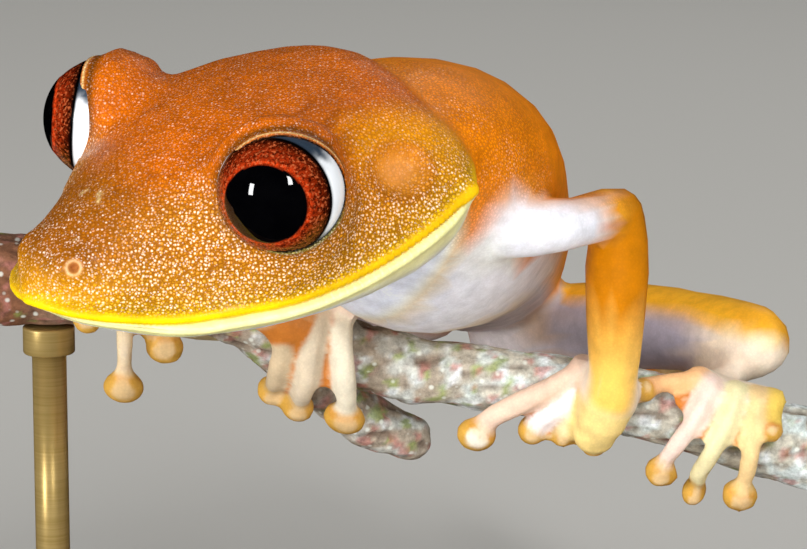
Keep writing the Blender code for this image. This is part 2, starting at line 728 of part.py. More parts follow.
def stick(points, sides, rings):
    bm = tube([p for p, _ in points], [r for _, r in points], 1.0, (0, 1, 0.2), sides, rings)
    bmesh.ops.recalc_face_normals(bm, faces=bm.faces)
    return roughened(bm, 4.0)


def build_branch(bark):
    obj = fuse([stick(BRANCH, 20, 90), stick(TWIG, 14, 16)], "perch_branch", bark, 0.35, BRANCH_TRIANGLES)
    for x, out in ((BRANCH_ENDS[0], -1), (BRANCH_ENDS[1], 1)):
        middle, ahead, _ = branch_at(x)
        slice_off(obj, middle, ahead * out)
    return obj


# Hands and feet


def digit(base, row, radius):
    """A finger or toe over the bark from the palm to its disc, and the line that its web follows."""
    start_x, end_x, start_angle, end_angle, lift, size = row
    points, outs = [base], []
    for k in range(6):
        t = k / 5
        ease = t * t * (3 - 2 * t)
        height = radius + GAP + (1 - t) * 0.1 + t * max(lift - DISC_THICKNESS, 0.0)
        x = start_x + (end_x - start_x) * ease
        place, out = on_branch(x, start_angle + (end_angle - start_angle) * t, height)
        points.append(place)
        outs.append(out)
    line = [p / MM for p in points]
    radii = (radius * 1.05, radius * 1.1, radius, radius * 0.95, radius, radius * 0.9, radius * 0.8)
    made = tube([tuple(p) for p in line], radii, 1.0, (0.31, 0.2, 0.93), 10, 22)
    centre, out = on_branch(end_x, end_angle, GAP + lift)
    ahead = points[-1] - points[-2]
    across = out.cross(ahead).normalized()
    disc = ball(centre, (size, size, DISC_THICKNESS), (across, across.cross(out), out), 16)
    return [made, disc], [base] + [place - out * WEB_SINK * MM for place, out in zip(points[1:], outs)]


def web(first, second, reach):
    """Thin skin between two neighbouring digits, over the first part of their length."""
    pieces = []
    steps = 14
    for k in range(steps):
        t = reach * k / (steps - 1)
        a, b, before = along(first, t), along(second, t), along(first, max(t - 0.05, 0.0))
        across, ahead = (a - b).normalized(), (a - before + (first[1] - first[0]) * 0.01).normalized()
        wide = max((a - b).length * 0.5 / MM, 0.4)
        size = (wide, 0.8, WEB_THICKNESS)
        pieces.append(ball((a + b) * 0.5, size, (across, ahead, across.cross(ahead)), 12))
    return pieces


def build_paw(name, skin, leading, radii, digits, radius, webbed, budget):
    """A hand or foot: the flesh that leads down to it, its palm and its digits, melted into one."""
    last = Vector(leading[-1]) * MM
    pieces = [tube(leading, radii, PALM_FLATNESS, (0.21, 0.1, 0.97), 14, 16)]
    lines = []
    for row in digits:
        root, _ = on_branch(row[0], row[2], radius + GAP + 0.2)
        made, line = digit(last.lerp(root, 0.35), row, radius)
        pieces.extend(made)
        lines.append(line)
    for first, second in zip(lines, lines[1:]):
        pieces.extend(web(first, second, webbed))
    return fuse(pieces, name, skin, 0.2, budget)


# Stand


def build_base(wood):
    """The plain slab that everything stands on, with round corners and a softened edge."""
    bm = bmesh.new()
    outline = []
    for cx, cy, first in ((1, 1, 0), (-1, 1, 90), (-1, -1, 180), (1, -1, 270)):
        for k in range(6):
            a = math.radians(first + 18 * k)
            middle = Vector((cx * (BASE_LENGTH / 2 - BASE_CORNER), cy * (BASE_DEPTH / 2 - BASE_CORNER), 0.0))
            outline.append((middle + Vector((math.cos(a), math.sin(a), 0)) * BASE_CORNER) * MM)
    face = bm.faces.new([bm.verts.new(p) for p in outline])
    raised = bmesh.ops.extrude_face_region(bm, geom=[face])
    top = [v for v in raised["geom"] if isinstance(v, bmesh.types.BMVert)]
    bmesh.ops.translate(bm, verts=top, vec=(0, 0, BASE_THICKNESS * MM))
    base = object_from(bm, "stand_base", wood)
    soft = base.modifiers.new("soft", "BEVEL")
    soft.width = BASE_EDGE * MM
    soft.segments = 2
    soft.limit_method = "ANGLE"
    soft.angle_limit = math.radians(60)
    settle(base)
    return base


def build_rod(x, branch_room, name, metal):
    """An upright rod from the base to the underside of the branch."""
    middle, _, _ = branch_at(x)
    foot, head = (BASE_THICKNESS + GAP) * MM, middle.z
    bm = bmesh.new()
    place = Matrix.Translation((x * MM, middle.y, (foot + head) / 2))
    size = {"radius1": ROD_RADIUS * MM, "radius2": ROD_RADIUS * MM, "depth": head - foot}
    bmesh.ops.create_cone(bm, cap_ends=True, segments=24, matrix=place, **size)
    rod = object_from(bm, name, metal)
    cut(rod, branch_room)
    return rod


def build():
    clear_scene()
    skin = material("skin", SKIN_COLOUR, 0.45)
    pale = material("pale_skin", PALE_COLOUR, 0.4)
    eye = material("eye", EYE_COLOUR, 0.1)
    bark = material("bark", BARK_COLOUR, 0.8)
    wood = material("base_wood", BASE_COLOUR, 0.35)
    metal = material("rod_metal", ROD_COLOUR, 0.3, 1.0)

    head = build_head(skin)
    build_eye(1, eye, "eye_left")
    build_eye(-1, eye, "eye_right")
    torso = build_torso(skin)
    cut(torso, grown(head, GAP))
    simpler(torso, TORSO_TRIANGLES)
    branch = build_branch(bark)
    room = {obj.name: grown(obj, GAP) for obj in (head, torso, branch)}

    made = {"torso": torso}
    for side, arm in (("left", ARM_LEFT), ("right", ARM_RIGHT)):
        shoulder, elbow, wrist = arm
        upper = limb(shoulder, elbow, UPPER_ARM_RADII, "upper_arm_" + side, skin, sway=ARM_SWAY[side])
        lower = limb(elbow, wrist, FOREARM_RADII, "forearm_" + side, skin)
        part_at(vec(elbow), upper, lower, vec(shoulder), vec(wrist))
        cut(upper, room["head"], room["torso"])
        cut(lower, room["head"], room["torso"], room["perch_branch"])
        made["upper_arm_" + side], made["forearm_" + side] = upper, lower
    for side, leg in (("left", LEG_LEFT), ("right", LEG_RIGHT)):
        hip, knee, ankle = leg
        upper = limb(hip, knee, THIGH_RADII, "thigh_" + side, skin, sway=THIGH_SWAY[side])
        lower = limb(knee, ankle, SHANK_RADII, "shank_" + side, skin, sway=SHANK_SWAY[side])
        part_at(vec(knee), upper, lower, vec(hip), vec(ankle))
        cut(upper, room["torso"], room["head"], room["perch_branch"])
        cut(lower, room["torso"], room["head"], room["perch_branch"])
        made["thigh_" + side], made["shank_" + side] = upper, lower

    paws = (
        ("hand_left", "forearm_left", ARM_LEFT, PALM_LEFT, PALM_RADII, HAND_LEFT, HAND_STYLE),
        ("hand_right", "forearm_right", ARM_RIGHT, PALM_RIGHT, PALM_RADII, HAND_RIGHT, HAND_STYLE),
        ("foot_left", "shank_left", LEG_LEFT, SOLE_LEFT, SOLE_RADII, FOOT_LEFT, FOOT_STYLE),
        ("foot_right", "shank_right", LEG_RIGHT, SOLE_RIGHT, SOLE_RADII, FOOT_RIGHT, FOOT_STYLE),
    )
    for name, above, (_, bend, end), way, radii, digits, style in paws:
        paw = build_paw(name, pale, (end, *way), radii, digits, *style)
        part_at(vec(end), made[above], paw, vec(bend), vec(way[0]))
        cut(paw, room["perch_branch"])
        made[name] = paw
    for first, second in APART:
        cut(made[second], grown(made[first], GAP))

    build_base(wood)
    build_rod(ROD_PLACES[0], room["perch_branch"], "stand_rod_left", metal)
    build_rod(ROD_PLACES[1], room["perch_branch"], "stand_rod_right", metal)
    for obj in list(bpy.context.scene.objects):
        if obj.hide_render:
            bpy.data.objects.remove(obj)
        else:
            obj.data.shade_smooth()


build()
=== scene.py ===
# %% [markdown]
# # A map tree frog on a cut branch
# The real thing is a small tree frog, painted and finished as a museum makes a life-size model, gripping a
# short length of branch that two rods carry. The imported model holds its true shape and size, so it is loaded
# first and nothing in it moves. Each later cell adds the looks of one part around it.

import json
import math

import bmesh
import bpy
import numpy as np
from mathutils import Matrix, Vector, noise
from mathutils.kdtree import KDTree

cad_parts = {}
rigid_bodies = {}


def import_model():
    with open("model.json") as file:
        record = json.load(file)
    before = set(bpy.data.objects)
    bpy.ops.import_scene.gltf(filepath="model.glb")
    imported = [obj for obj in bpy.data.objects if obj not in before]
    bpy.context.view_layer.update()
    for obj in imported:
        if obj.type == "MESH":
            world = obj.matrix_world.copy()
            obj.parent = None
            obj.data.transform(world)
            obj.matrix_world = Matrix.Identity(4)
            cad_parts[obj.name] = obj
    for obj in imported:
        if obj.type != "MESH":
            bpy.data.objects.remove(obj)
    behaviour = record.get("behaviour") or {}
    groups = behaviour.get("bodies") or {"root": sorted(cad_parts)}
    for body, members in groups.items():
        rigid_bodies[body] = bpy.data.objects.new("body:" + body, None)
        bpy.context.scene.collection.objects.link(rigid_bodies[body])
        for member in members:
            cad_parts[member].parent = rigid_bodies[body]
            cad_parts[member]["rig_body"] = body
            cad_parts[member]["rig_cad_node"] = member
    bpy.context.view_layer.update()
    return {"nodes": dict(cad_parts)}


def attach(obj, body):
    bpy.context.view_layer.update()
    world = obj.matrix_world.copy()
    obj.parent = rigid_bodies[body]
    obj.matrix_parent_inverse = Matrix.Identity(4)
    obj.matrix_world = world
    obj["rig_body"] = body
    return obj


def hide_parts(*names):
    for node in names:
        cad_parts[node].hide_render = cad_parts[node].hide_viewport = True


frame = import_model()
bpy.ops.object.select_all(action="DESELECT")
MM = 0.001
print("loaded", len(frame["nodes"]), "nodes")

# %% [markdown]
# ## The head's own axes
# A head is easiest to describe by itself: forward along the snout, left, and up, from the point midway
# between the eyes. The head here is turned, nose down and tilted, so these are the same angles that the
# solids were made with, and `in_head` takes places in the frame to the head's own millimetres.

# %% Head axes
HEAD_CENTRE = Vector((-11.21, -20.91, 40.82))
HEAD_YAW, HEAD_PITCH, HEAD_ROLL = (math.radians(a) for a in (52.0, 10.7, 6.2))
level = Vector((-math.sin(HEAD_YAW), -math.cos(HEAD_YAW), 0.0))
aside = Vector((math.cos(HEAD_YAW), -math.sin(HEAD_YAW), 0.0))
upright = Vector((0.0, 0.0, math.cos(HEAD_PITCH))) + level * math.sin(HEAD_PITCH)
forward = level * math.cos(HEAD_PITCH) - Vector((0.0, 0.0, math.sin(HEAD_PITCH)))
left = aside * math.cos(HEAD_ROLL) - upright * math.sin(HEAD_ROLL)
up = upright * math.cos(HEAD_ROLL) + aside * math.sin(HEAD_ROLL)
HEAD_TURN = np.array((forward, left, up))


def in_head(places):
    """Places in the frame, in millimetres, as forward, left and up from between the eyes."""
    return (places - np.array(HEAD_CENTRE)) @ HEAD_TURN.T


def from_head(places):
    return np.asarray(places, float) @ HEAD_TURN + np.array(HEAD_CENTRE)


print("snout points along", [round(x, 2) for x in forward])

# %% [markdown]
# ## Small helpers
# Vertices are read and written in one go as a table of numbers, because a skin has a hundred thousand of
# them. `soft_step` is the usual smooth change from 0 to 1 between two values.

# %% Helpers for meshes


def points_of(piece):
    """The vertices of a piece in millimetres, one row each."""
    flat = np.empty(len(piece.data.vertices) * 3)
    piece.data.vertices.foreach_get("co", flat)
    return flat.reshape(-1, 3) / MM


def move_points(piece, places):
    piece.data.vertices.foreach_set("co", (places * MM).astype(np.float32).ravel())
    piece.data.update()


def normals_of(piece):
    flat = np.empty(len(piece.data.vertices) * 3)
    piece.data.vertices.foreach_get("normal", flat)
    return flat.reshape(-1, 3)


def soft_step(value, low, high):
    t = np.clip((value - low) / (high - low), 0.0, 1.0)
    return t * t * (3 - 2 * t)


def away_from(point, places):
    return np.linalg.norm(places - point, axis=1)


def band(value, middle, width):
    """1 at the middle of a band, falling off softly on both sides of it."""
    return np.exp(-(((value - middle) / width) ** 2))


def edges_of(piece):
    ends = np.empty(len(piece.data.edges) * 2, np.int64)
    piece.data.edges.foreach_get("vertices", ends)
    return ends.reshape(-1, 2)


def relaxed(places, ends, rounds, weight=1.0, back=-0.53):
    """Evens a surface out: each round takes a step in and, to keep it from shrinking, a step back out."""
    count = np.bincount(ends.ravel(), minlength=len(places))[:, None]
    for _ in range(rounds):
        for step in (0.5, back) if back else (0.5,):
            total = np.zeros_like(places)
            for k in range(3):
                total[:, k] = np.bincount(ends[:, 0], places[ends[:, 1], k], len(places))
                total[:, k] += np.bincount(ends[:, 1], places[ends[:, 0], k], len(places))
            places = places + (total / np.maximum(count, 1) - places) * step * weight
    return places


def only(piece):
    """Makes a piece the only one that is selected, and the active one."""
    bpy.ops.object.select_all(action="DESELECT")
    piece.select_set(True)
    bpy.context.view_layer.objects.active = piece


def apply(piece, kind, **settings):
    """Adds a modifier with its settings and applies it."""
    only(piece)
    made = piece.modifiers.new(kind.lower(), kind)
    for name, value in settings.items():
        setattr(made, name, value)
    bpy.ops.object.modifier_apply(modifier=made.name)


def cad_copy(node, name, outward=0.0):
    """A CAD node copied as a mesh of its own, its loose triangles merged, swollen by so many millimetres."""
    piece = frame["nodes"][node].copy()
    piece.data = piece.data.copy()
    piece.name = name
    piece.parent = None
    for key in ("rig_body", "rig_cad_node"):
        del piece[key]
    bpy.context.scene.collection.objects.link(piece)
    bm = bmesh.new()
    bm.from_mesh(piece.data)
    bmesh.ops.remove_doubles(bm, verts=bm.verts, dist=1e-6)
    bmesh.ops.recalc_face_normals(bm, faces=bm.faces)
    bm.normal_update()
    moves = [vert.normal * outward * MM for vert in bm.verts]
    for vert, move in zip(bm.verts, moves):
        vert.co += move
    bm.to_mesh(piece.data)
    bm.free()
    piece.data.materials.clear()
    return piece


def joined(pieces, name):
    only(pieces[0])
    for piece in pieces[1:]:
        piece.select_set(True)
    bpy.ops.object.join()
    pieces[0].name = name
    return pieces[0]


# %% [markdown]
# ## One skin over all the flesh
# The solids part the body at each joint with a gap of 0.3 mm. Skin has no such seams. Each solid is copied
# and swollen until neighbours overlap, all copies are melted into one surface by a voxel remesh, and that
# surface is drawn back in by the same amount. The eye sockets are filled first, so that lids can be shaped
# in their place.

# %% Melt the solids into one skin
FLESH = sorted(n for n in frame["nodes"] if not n.startswith(("eye", "perch", "stand")))
SWELL = 0.17
VOXEL = 0.23
EYE_SPREAD = 7.9  # from the middle of the head to the middle of each eye
SOCKET_FILL = 3.6
THIRD_TOE, TOE_SHIFT = (16.6, -5.0, 18.3), (0.34, 0.16, -0.24)  # or its disc would melt into the next one
BALL_CUTS = 4  # an ico sphere divided so often has no visible facets
WRIST_FLESH = (((11.7, -8.3, 24.6), 1.75), ((11.3, -8.0, 23.4), 1.5), ((10.9, -7.6, 22.3), 1.25))

parts = [cad_copy(node, "flesh_" + node, SWELL) for node in FLESH]
foot = parts[FLESH.index("foot_left")]
places = points_of(foot)
at_end = soft_step(away_from(THIRD_TOE, places), 2.0, 1.0)
move_points(foot, places + at_end[:, None] * TOE_SHIFT)
sockets = [(from_head((0.0, side * EYE_SPREAD, 0.0)), SOCKET_FILL) for side in (1, -1)]
for place, radius in (*WRIST_FLESH, *sockets):
    bpy.ops.mesh.primitive_ico_sphere_add(
        subdivisions=BALL_CUTS, radius=(radius + SWELL) * MM, location=Vector(place) * MM)
    bpy.ops.object.transform_apply()
    parts.append(bpy.context.object)
skin = joined(parts, "frog_skin")
apply(skin, "REMESH", mode="VOXEL", voxel_size=VOXEL * MM)
print("skin", len(skin.data.polygons), "faces")

# %% [markdown]
# Fingers and toes are only a millimetre thick, so they are smoothed less than the body is. They are found by
# their distance from the line through the middle of the branch that they grip. Wrists, elbows and knees are
# smoothed most, so that one piece of a limb runs into the next.

# %% Draw it back and smooth out the facets
PERCH_LINE = np.array((
    (-23.5, -3.3, 30.5), (-12.0, -3.4, 29.3), (-6.5, -3.5, 27.4), (-1.1, -3.6, 25.4), (5.0, -3.7, 24.5),
    (12.3, -3.8, 23.4), (22.5, -3.8, 20.7)))
JOINTS = (  # places where pieces of a limb meet, and how far round each the flesh is rounded
    ((11.8, -8.6, 24.9), 2.6), ((-7.0, -7.0, 28.6), 2.4),  # wrists
    ((17.9, 0.4, 22.7), 3.0), ((-14.6, 0.4, 29.4), 3.0),  # ankles
    ((13.4, -8.2, 36.4), 2.9), ((-13.2, -3.2, 36.8), 2.9),  # elbows
    ((21.6, -1.4, 25.8), 4.4), ((-17.4, 2.2, 29.4), 4.4),  # knees
)


def perch_middle(places):
    """Y and Z of the line through the middle of the branch, at each place's X."""
    return np.stack([np.interp(places[:, 0], PERCH_LINE[:, 0], PERCH_LINE[:, k]) for k in (1, 2)], axis=1)


def off_perch(places):
    return away_from(perch_middle(places), places[:, 1:])


places = points_of(skin) - normals_of(skin) * SWELL
in_digits = soft_step(off_perch(places), 5.6, 4.8)
near_joint = np.zeros(len(places))
for joint, wide in JOINTS:
    near_joint = np.maximum(near_joint, soft_step(away_from(joint, places), wide, wide * 0.5))
in_head_here = soft_step(in_head(places)[:, 0], -13.0, -10.0) * soft_step(places[:, 1], -9.0, -11.0)
edges = edges_of(skin)
weight = (1.0 - 0.65 * in_digits) * (1.0 - 0.5 * in_head_here)
places = relaxed(places, edges, 50, weight[:, None])
plain = (1.0 - in_digits) * (1.0 - in_head_here)  # with no step back, the last two also round the flesh in
places = relaxed(places, edges, 10, plain[:, None], back=0)
places = relaxed(places, edges, 36, near_joint[:, None], back=0)
move_points(skin, places)

# %% [markdown]
# ## Fine skin only where it is needed
# A head carries lids, lips, nostrils and the disc of the ear, while a thigh is one smooth form. So the
# plain parts are thinned with a Decimate modifier. A vertex group keeps it off the hands and feet, whose
# digits would turn angular, and partly off the head. The faces close to each feature are then divided once or
# twice. That keeps the whole skin under 200,000 triangles.

# %% Thin out all but the hands and feet
HEAD_BACK = -12.0  # the neck begins this far behind the eyes
PLAIN_RATIO = 0.39
HEAD_SHARE = 0.6  # how far the head is kept from being thinned

places = points_of(skin)
on_head = soft_step(in_head(places)[:, 0], HEAD_BACK, HEAD_BACK + 2.0) * soft_step(places[:, 1], -9.0, -11.0)
paw_points = [p for n in FLESH if n.startswith(("hand", "foot")) for p in points_of(frame["nodes"][n])]
paws = KDTree(len(paw_points))
for index, point in enumerate(paw_points):
    paws.insert(point, index)
paws.balance()
off_paws = np.array([paws.find(place)[2] for place in places])
plain = np.clip(1.0 - HEAD_SHARE * on_head - soft_step(off_paws, 1.3, 0.8), 0.0, 1.0)
group = skin.vertex_groups.new(name="plain")
for index in np.nonzero(plain > 0.01)[0]:
    group.add([int(index)], float(plain[index]), "REPLACE")
apply(skin, "DECIMATE", ratio=PLAIN_RATIO, vertex_group="plain")
skin.vertex_groups.clear()
print("thinned to", len(skin.data.polygons), "faces")

# %% [markdown]
# ## Where the features lie
# Each feature is a measure that every vertex can be asked for: how far it lies above the line of the mouth,
# how far outside the rim of the eye's opening, how far from a nostril or from the middle of the ear. The
# same measures shape the skin here and colour it later, so paint and form always agree.

# %% Measures of the head
LIPS = (  # along the head, half the width at the lips and their height, from snout to corner of the mouth
    (10.9, 1.2, -5.1), (10.2, 2.8, -5.3), (8.8, 4.7, -5.5), (6.4, 6.7, -5.8), (3.5, 8.1, -5.9),
    (0.0, 9.3, -5.9), (-4.0, 10.2, -5.2), (-8.2, 10.6, -3.9), (-11.0, 9.9, -2.8), (-12.9, 7.4, -2.4),
)
MOUTH_CORNER = -9.9
GAZE_TURN, GAZE_LIFT = {1: 35.0, -1: 46.0}, 8.0  # where the left and the right eye look
OPENING_TURN, OPENING_LIFT = 52.0, 16.0  # where the eye's opening faces
OPENING_ACROSS, OPENING_HIGH = math.radians(81.0), math.radians(62.5)  # half of it, seen from the middle
EYE_RADIUS = 3.35  # of the socket that the ball sits in
NOSTRIL = (9.4, 2.3, -2.75)
EAR, EAR_RADIUS = (-6.9, 9.9, -0.5), 1.75


def along(rows, steps):
    """A smooth line through a few points, so many places on each stretch."""
    rows = np.array(rows, float)
    line = []
    for i in range(len(rows) - 1):
        p1, p2 = rows[i], rows[i + 1]
        p0 = rows[i - 1] if i else 2 * p1 - p2
        p3 = rows[i + 2] if i + 2 < len(rows) else 2 * p2 - p1
        for f in np.arange(steps) / steps:
            line.append(0.5 * (2 * p1 + (p2 - p0) * f + (2 * p0 - 5 * p1 + 4 * p2 - p3) * f**2
                               + (3 * p1 - p0 - 3 * p2 + p3) * f**3))
    return np.array(line + [rows[-1]])


def direction(turn, lift, side):
    turn, lift = math.radians(turn), math.radians(lift)
    return np.array((math.cos(turn) * math.cos(lift), side * math.sin(turn) * math.cos(lift), math.sin(lift)))


def nearest(places, line):
    """Which point of a line each place is nearest to, and how far away it is."""
    best = np.full(len(places), 1e9)
    which = np.zeros(len(places), int)
    for k, point in enumerate(line):
        reach = away_from(point, places)
        closer = reach < best
        best[closer], which[closer] = reach[closer], k
    return which, best


def to_left(head_place):
    """The same places with the right half of the head laid over the left."""
    return head_place * (1, 0, 1) + np.abs(head_place) * (0, 1, 0)


def mouth_measure(head_place):
    """Height above the line of the mouth, distance from it, and how open the line still is there."""
    mirrored = to_left(head_place)
    line = along(LIPS, 10)
    which, best = nearest(mirrored, line)
    still_open = soft_step(line[which, 0], MOUTH_CORNER - 0.6, MOUTH_CORNER + 1.0)
    return mirrored[:, 2] - line[which, 2], best, still_open


def axes_on(aim):
    """A direction, with two more at right angles to it: across, and as upright as can be."""
    across = np.cross((0.0, 0.0, 1.0), aim)
    across /= np.linalg.norm(across)
    return aim, across, np.cross(aim, across)


def eye_measure(head_place, side):
    """Distance outside the rim of one eye's opening, along the eyeball, then distance from the eye's middle,
    and the way from that middle."""
    out = head_place - (0.0, side * EYE_SPREAD, 0.0)
    reach = np.linalg.norm(out, axis=1)
    out /= np.maximum(reach, 1e-6)[:, None]
    aim, across, high = axes_on(direction(OPENING_TURN, OPENING_LIFT, side))
    opened = np.arccos(np.clip(out @ aim, -1.0, 1.0))
    around = np.arctan2(out @ high, out @ across)
    rim = 1 / np.sqrt((np.cos(around) / OPENING_ACROSS) ** 2 + (np.sin(around) / OPENING_HIGH) ** 2)
    return (opened - rim) * EYE_RADIUS, reach, out


def ear_measure(head_place):
    """Distance from the middle of the disc of the ear, measured as an oval."""
    away = to_left(head_place) - EAR
    return np.sqrt((away[:, 0] * 0.94) ** 2 + (away[:, 1] * 0.8) ** 2 + (away[:, 2] * 1.12) ** 2)


def features(piece):
    """How close each vertex is to the nearest rim, lip, nostril or ear edge."""
    head_place = in_head(points_of(piece))
    mirrored = to_left(head_place)
    _, lips, open_here = mouth_measure(head_place)
    near = lips + 2.0 * (1.0 - open_here)
    near = np.minimum(near, away_from(NOSTRIL, mirrored) - 0.4)
    near = np.minimum(near, np.abs(ear_measure(head_place) - EAR_RADIUS) + 0.3)
    for side in (1, -1):
        rim, reach, _ = eye_measure(head_place, side)
        near = np.minimum(near, np.where(reach < 4.6, np.abs(rim - 0.1), 9.0))
    return near


print("line of the mouth", round(float(along(LIPS, 10)[:, 1].max()) * 2, 1), "mm wide")

# %% Divide the faces near the features
REACHES = (0.85, 0.36)  # millimetres round a feature where the faces are divided once, and twice

for reach in REACHES:
    near = features(skin)
    bm = bmesh.new()
    bm.from_mesh(skin.data)
    bm.verts.ensure_lookup_table()
    chosen = [edge for edge in bm.edges if max(near[vert.index] for vert in edge.verts) < reach]
    bmesh.ops.subdivide_edges(bm, edges=chosen, cuts=1, use_grid_fill=True)
    bmesh.ops.triangulate(bm, faces=[face for face in bm.faces if len(face.verts) > 4])
    bm.to_mesh(skin.data)
    bm.free()
    fine = soft_step(features(skin), reach, reach * 0.7)[:, None]
    move_points(skin, relaxed(points_of(skin), edges_of(skin), 4, fine))
skin.data.validate()
print("skin now has", sum(len(face.vertices) - 2 for face in skin.data.polygons), "triangles")

# %% [markdown]
# ## Lids, lips, nostrils and ear
# The lids are a rim of skin that rises out of the eyeball, rounded at its edge. The lips meet in a narrow
# groove with a soft roll above and below it. A nostril is a small pit in a low mound, and the ear is a
# round disc, a little sunk, inside a faint ring, under a fold that runs from the eye to the shoulder.

# %% Shape the head's features
LID_HEIGHT = 0.1  # how far the rim stands over the eyeball
SOCKET_DEPTH = 1.5  # the skin runs this near to the middle of the eye, behind the eyeball
FOLD = ((-3.6, 7.5, 2.4), (-5.8, 8.2, 2.0), (-8.2, 9.2, 0.7), (-10.1, 10.3, -1.3), (-10.9, 10.7, -3.2))

places = points_of(skin)
head_place = in_head(places)
for side in (1, -1):
    rim, reach, out = eye_measure(head_place, side)
    near_eye = (reach < 5.0) & (rim < 1.8)
    wall = EYE_RADIUS - 0.1 + np.where(rim > 0, 3.6, 6.0) * rim
    stand = LID_HEIGHT - 0.24 * soft_step(out[:, 0], 0.2, 0.8)  # lowest in front, where the ball bulges out
    crest = EYE_RADIUS + stand - 0.26 * np.abs(rim - 0.22) ** 1.5
    lid = np.maximum(np.minimum(wall, crest), SOCKET_DEPTH)
    hold = near_eye * soft_step(rim, 1.5, 0.3)
    moved = reach + (lid - reach) * hold
    head_place = np.where(near_eye[:, None], out * moved[:, None] + (0.0, side * EYE_SPREAD, 0.0), head_place)
places = from_head(head_place)
move_points(skin, places)

outward = normals_of(skin)
mirrored = to_left(head_place)
height, lips, open_here = mouth_measure(head_place)
by_lips = (lips < 1.8) * open_here
groove = -0.34 * band(height, 0.0, 0.13)
rolls = 0.12 * band(height, 0.45, 0.24) + 0.1 * band(height, -0.42, 0.24)
rise = (groove + rolls) * by_lips
to_nostril = away_from(NOSTRIL, mirrored)
rise += 0.16 * band(to_nostril, 0.0, 0.7) - 0.55 * band(to_nostril, 0.0, 0.24)
ear = ear_measure(head_place)
rise += 0.1 * band(ear, EAR_RADIUS + 0.15, 0.25) - 0.16 * soft_step(ear, EAR_RADIUS, EAR_RADIUS - 0.4)
_, fold = nearest(mirrored, along(FOLD, 12))
rise += 0.22 * band(fold, 0.0, 0.55)
tucked = 1.1 * soft_step(mirrored[:, 0], 4.5, 10.0) * soft_step(height, 0.0, -0.35)
tucked *= soft_step(mirrored[:, 2], -2.0, -4.0)
back_a_little = np.array(forward) * -tucked[:, None]  # the lower jaw ends under the upper lip
move_points(skin, places + outward * rise[:, None] + back_a_little)
print("lids stand", LID_HEIGHT, "mm over the eyes")

# %% [markdown]
# ## Painting with measures
# Each finish gets its broad colours from one colour per vertex, worked out from the measures above, and its
# fine grain from procedural textures. Colours are written as sRGB hex values, as a paint chart gives them,
# and one function turns them into the linear values that light is added up in.

# %% Helpers for paint


def linear(chart_colour):
    """An sRGB hex value as linear red, green, blue and an alpha of 1."""
    channels = [int(chart_colour[i:i + 2], 16) / 255 for i in (1, 3, 5)]
    return (*[c / 12.92 if c <= 0.04045 else ((c + 0.055) / 1.055) ** 2.4 for c in channels], 1.0)


def wash(coat, chart_colour, share):
    """Lays one colour over a coat, as strong at each vertex as its share says."""
    share = np.clip(share, 0.0, 1.0)[:, None]
    coat[:] = coat * (1 - share) + np.array(linear(chart_colour)) * share


def store_coat(piece, coat):
    made = piece.data.attributes.new("coat", "FLOAT_COLOR", "POINT")
    made.data.foreach_set("color", coat.astype(np.float32).ravel())


def store_measure(piece, name, values):
    made = piece.data.attributes.new(name, "FLOAT", "POINT")
    made.data.foreach_set("value", np.asarray(values, np.float32))


def grain(places, size, seed=0.0):
    """Smooth random values from about -1 to 1, with patches of about so many millimetres."""
    return np.array([noise.noise(Vector(place) / size + Vector((seed, 0.0, 0.0))) for place in places])


def feed(tree, node, sources):
    """Links what feeds a node to its sockets. A node that feeds another gives its first output."""
    for socket, source in sources.items():
        tree.links.new(getattr(source, "outputs", [source])[0], node.inputs[socket])


def add(tree, kind, settings, sources=None):
    """Adds one node with its settings and with what feeds it. A capital or a number names a socket: 1 to 4 of
    a Map Range are the range that it reads and the range that it gives, and 6 and 7 of a Mix its colours."""
    made = tree.nodes.new("ShaderNode" + kind)
    for name, value in settings.items():
        if name == "stops":
            stops = made.color_ramp.elements
            while len(stops) < len(value):
                stops.new(1.0)
            for stop, (place, chart_colour) in zip(stops, value):
                stop.position, stop.color = place, linear(chart_colour)
        elif isinstance(name, int) or name[0].isupper():
            made.inputs[name].default_value = value
        else:
            setattr(made, name, value)
    feed(tree, made, sources or {})
    return made


def finish(name, settings):
    """A new material, its tree, its Principled shader as set here, and the place on the piece."""
    made = bpy.data.materials.new(name)
    made.use_nodes = True
    tree = made.node_tree
    shader = tree.nodes["Principled BSDF"]
    for socket, value in settings.items():
        shader.inputs[socket].default_value = value
    return made, tree, shader, add(tree, "TexCoord", {}).outputs["Object"]


print("orange skin is", [round(c, 3) for c in linear("#D66602")])

# %% [markdown]
# ## The frog's colours
# Above it is orange, deepest on the back, and gold on the side of the head, where granules are tipped with
# cream. The lips are edged in bright yellow above and pale lemon below. Throat, chest, belly and the
# undersides of the limbs are white with a lilac cast, and the hands and feet are pinkish, with dull yellow
# discs.

# %% Broad colours of the trunk and the head
# The line of the back: how far along Y, and how high
SPINE = ((-16.0, 39.4), (-7.0, 37.2), (-1.0, 35.0), (6.0, 32.0), (12.5, 28.8), (18.0, 26.2))
LIMBS = {  # from joint to joint, with the thickness of the flesh
    "upper_arm_left": ((3.0, -14.0, 35.6), (12.1, -8.2, 35.3), 2.3),
    "forearm_left": ((12.1, -8.2, 35.3), (11.9, -8.2, 25.8), 2.2),
    "upper_arm_right": ((-5.6, -8.4, 35.4), (-12.0, -3.6, 35.6), 2.3),
    "forearm_right": ((-12.0, -3.6, 35.6), (-7.6, -7.0, 29.2), 2.2),
    "thigh_left": ((6.9, 17.6, 22.4), (20.9, -0.4, 25.9), 3.2),
    "thigh_right": ((1.2, 18.6, 24.4), (-16.6, 3.0, 29.2), 3.2),
    "shank_left": ((20.9, -0.4, 25.9), (12.6, 22.0, 20.4), 2.6),
    "shank_right": ((-16.6, 3.0, 29.2), (-7.4, 23.6, 22.0), 2.6),
}


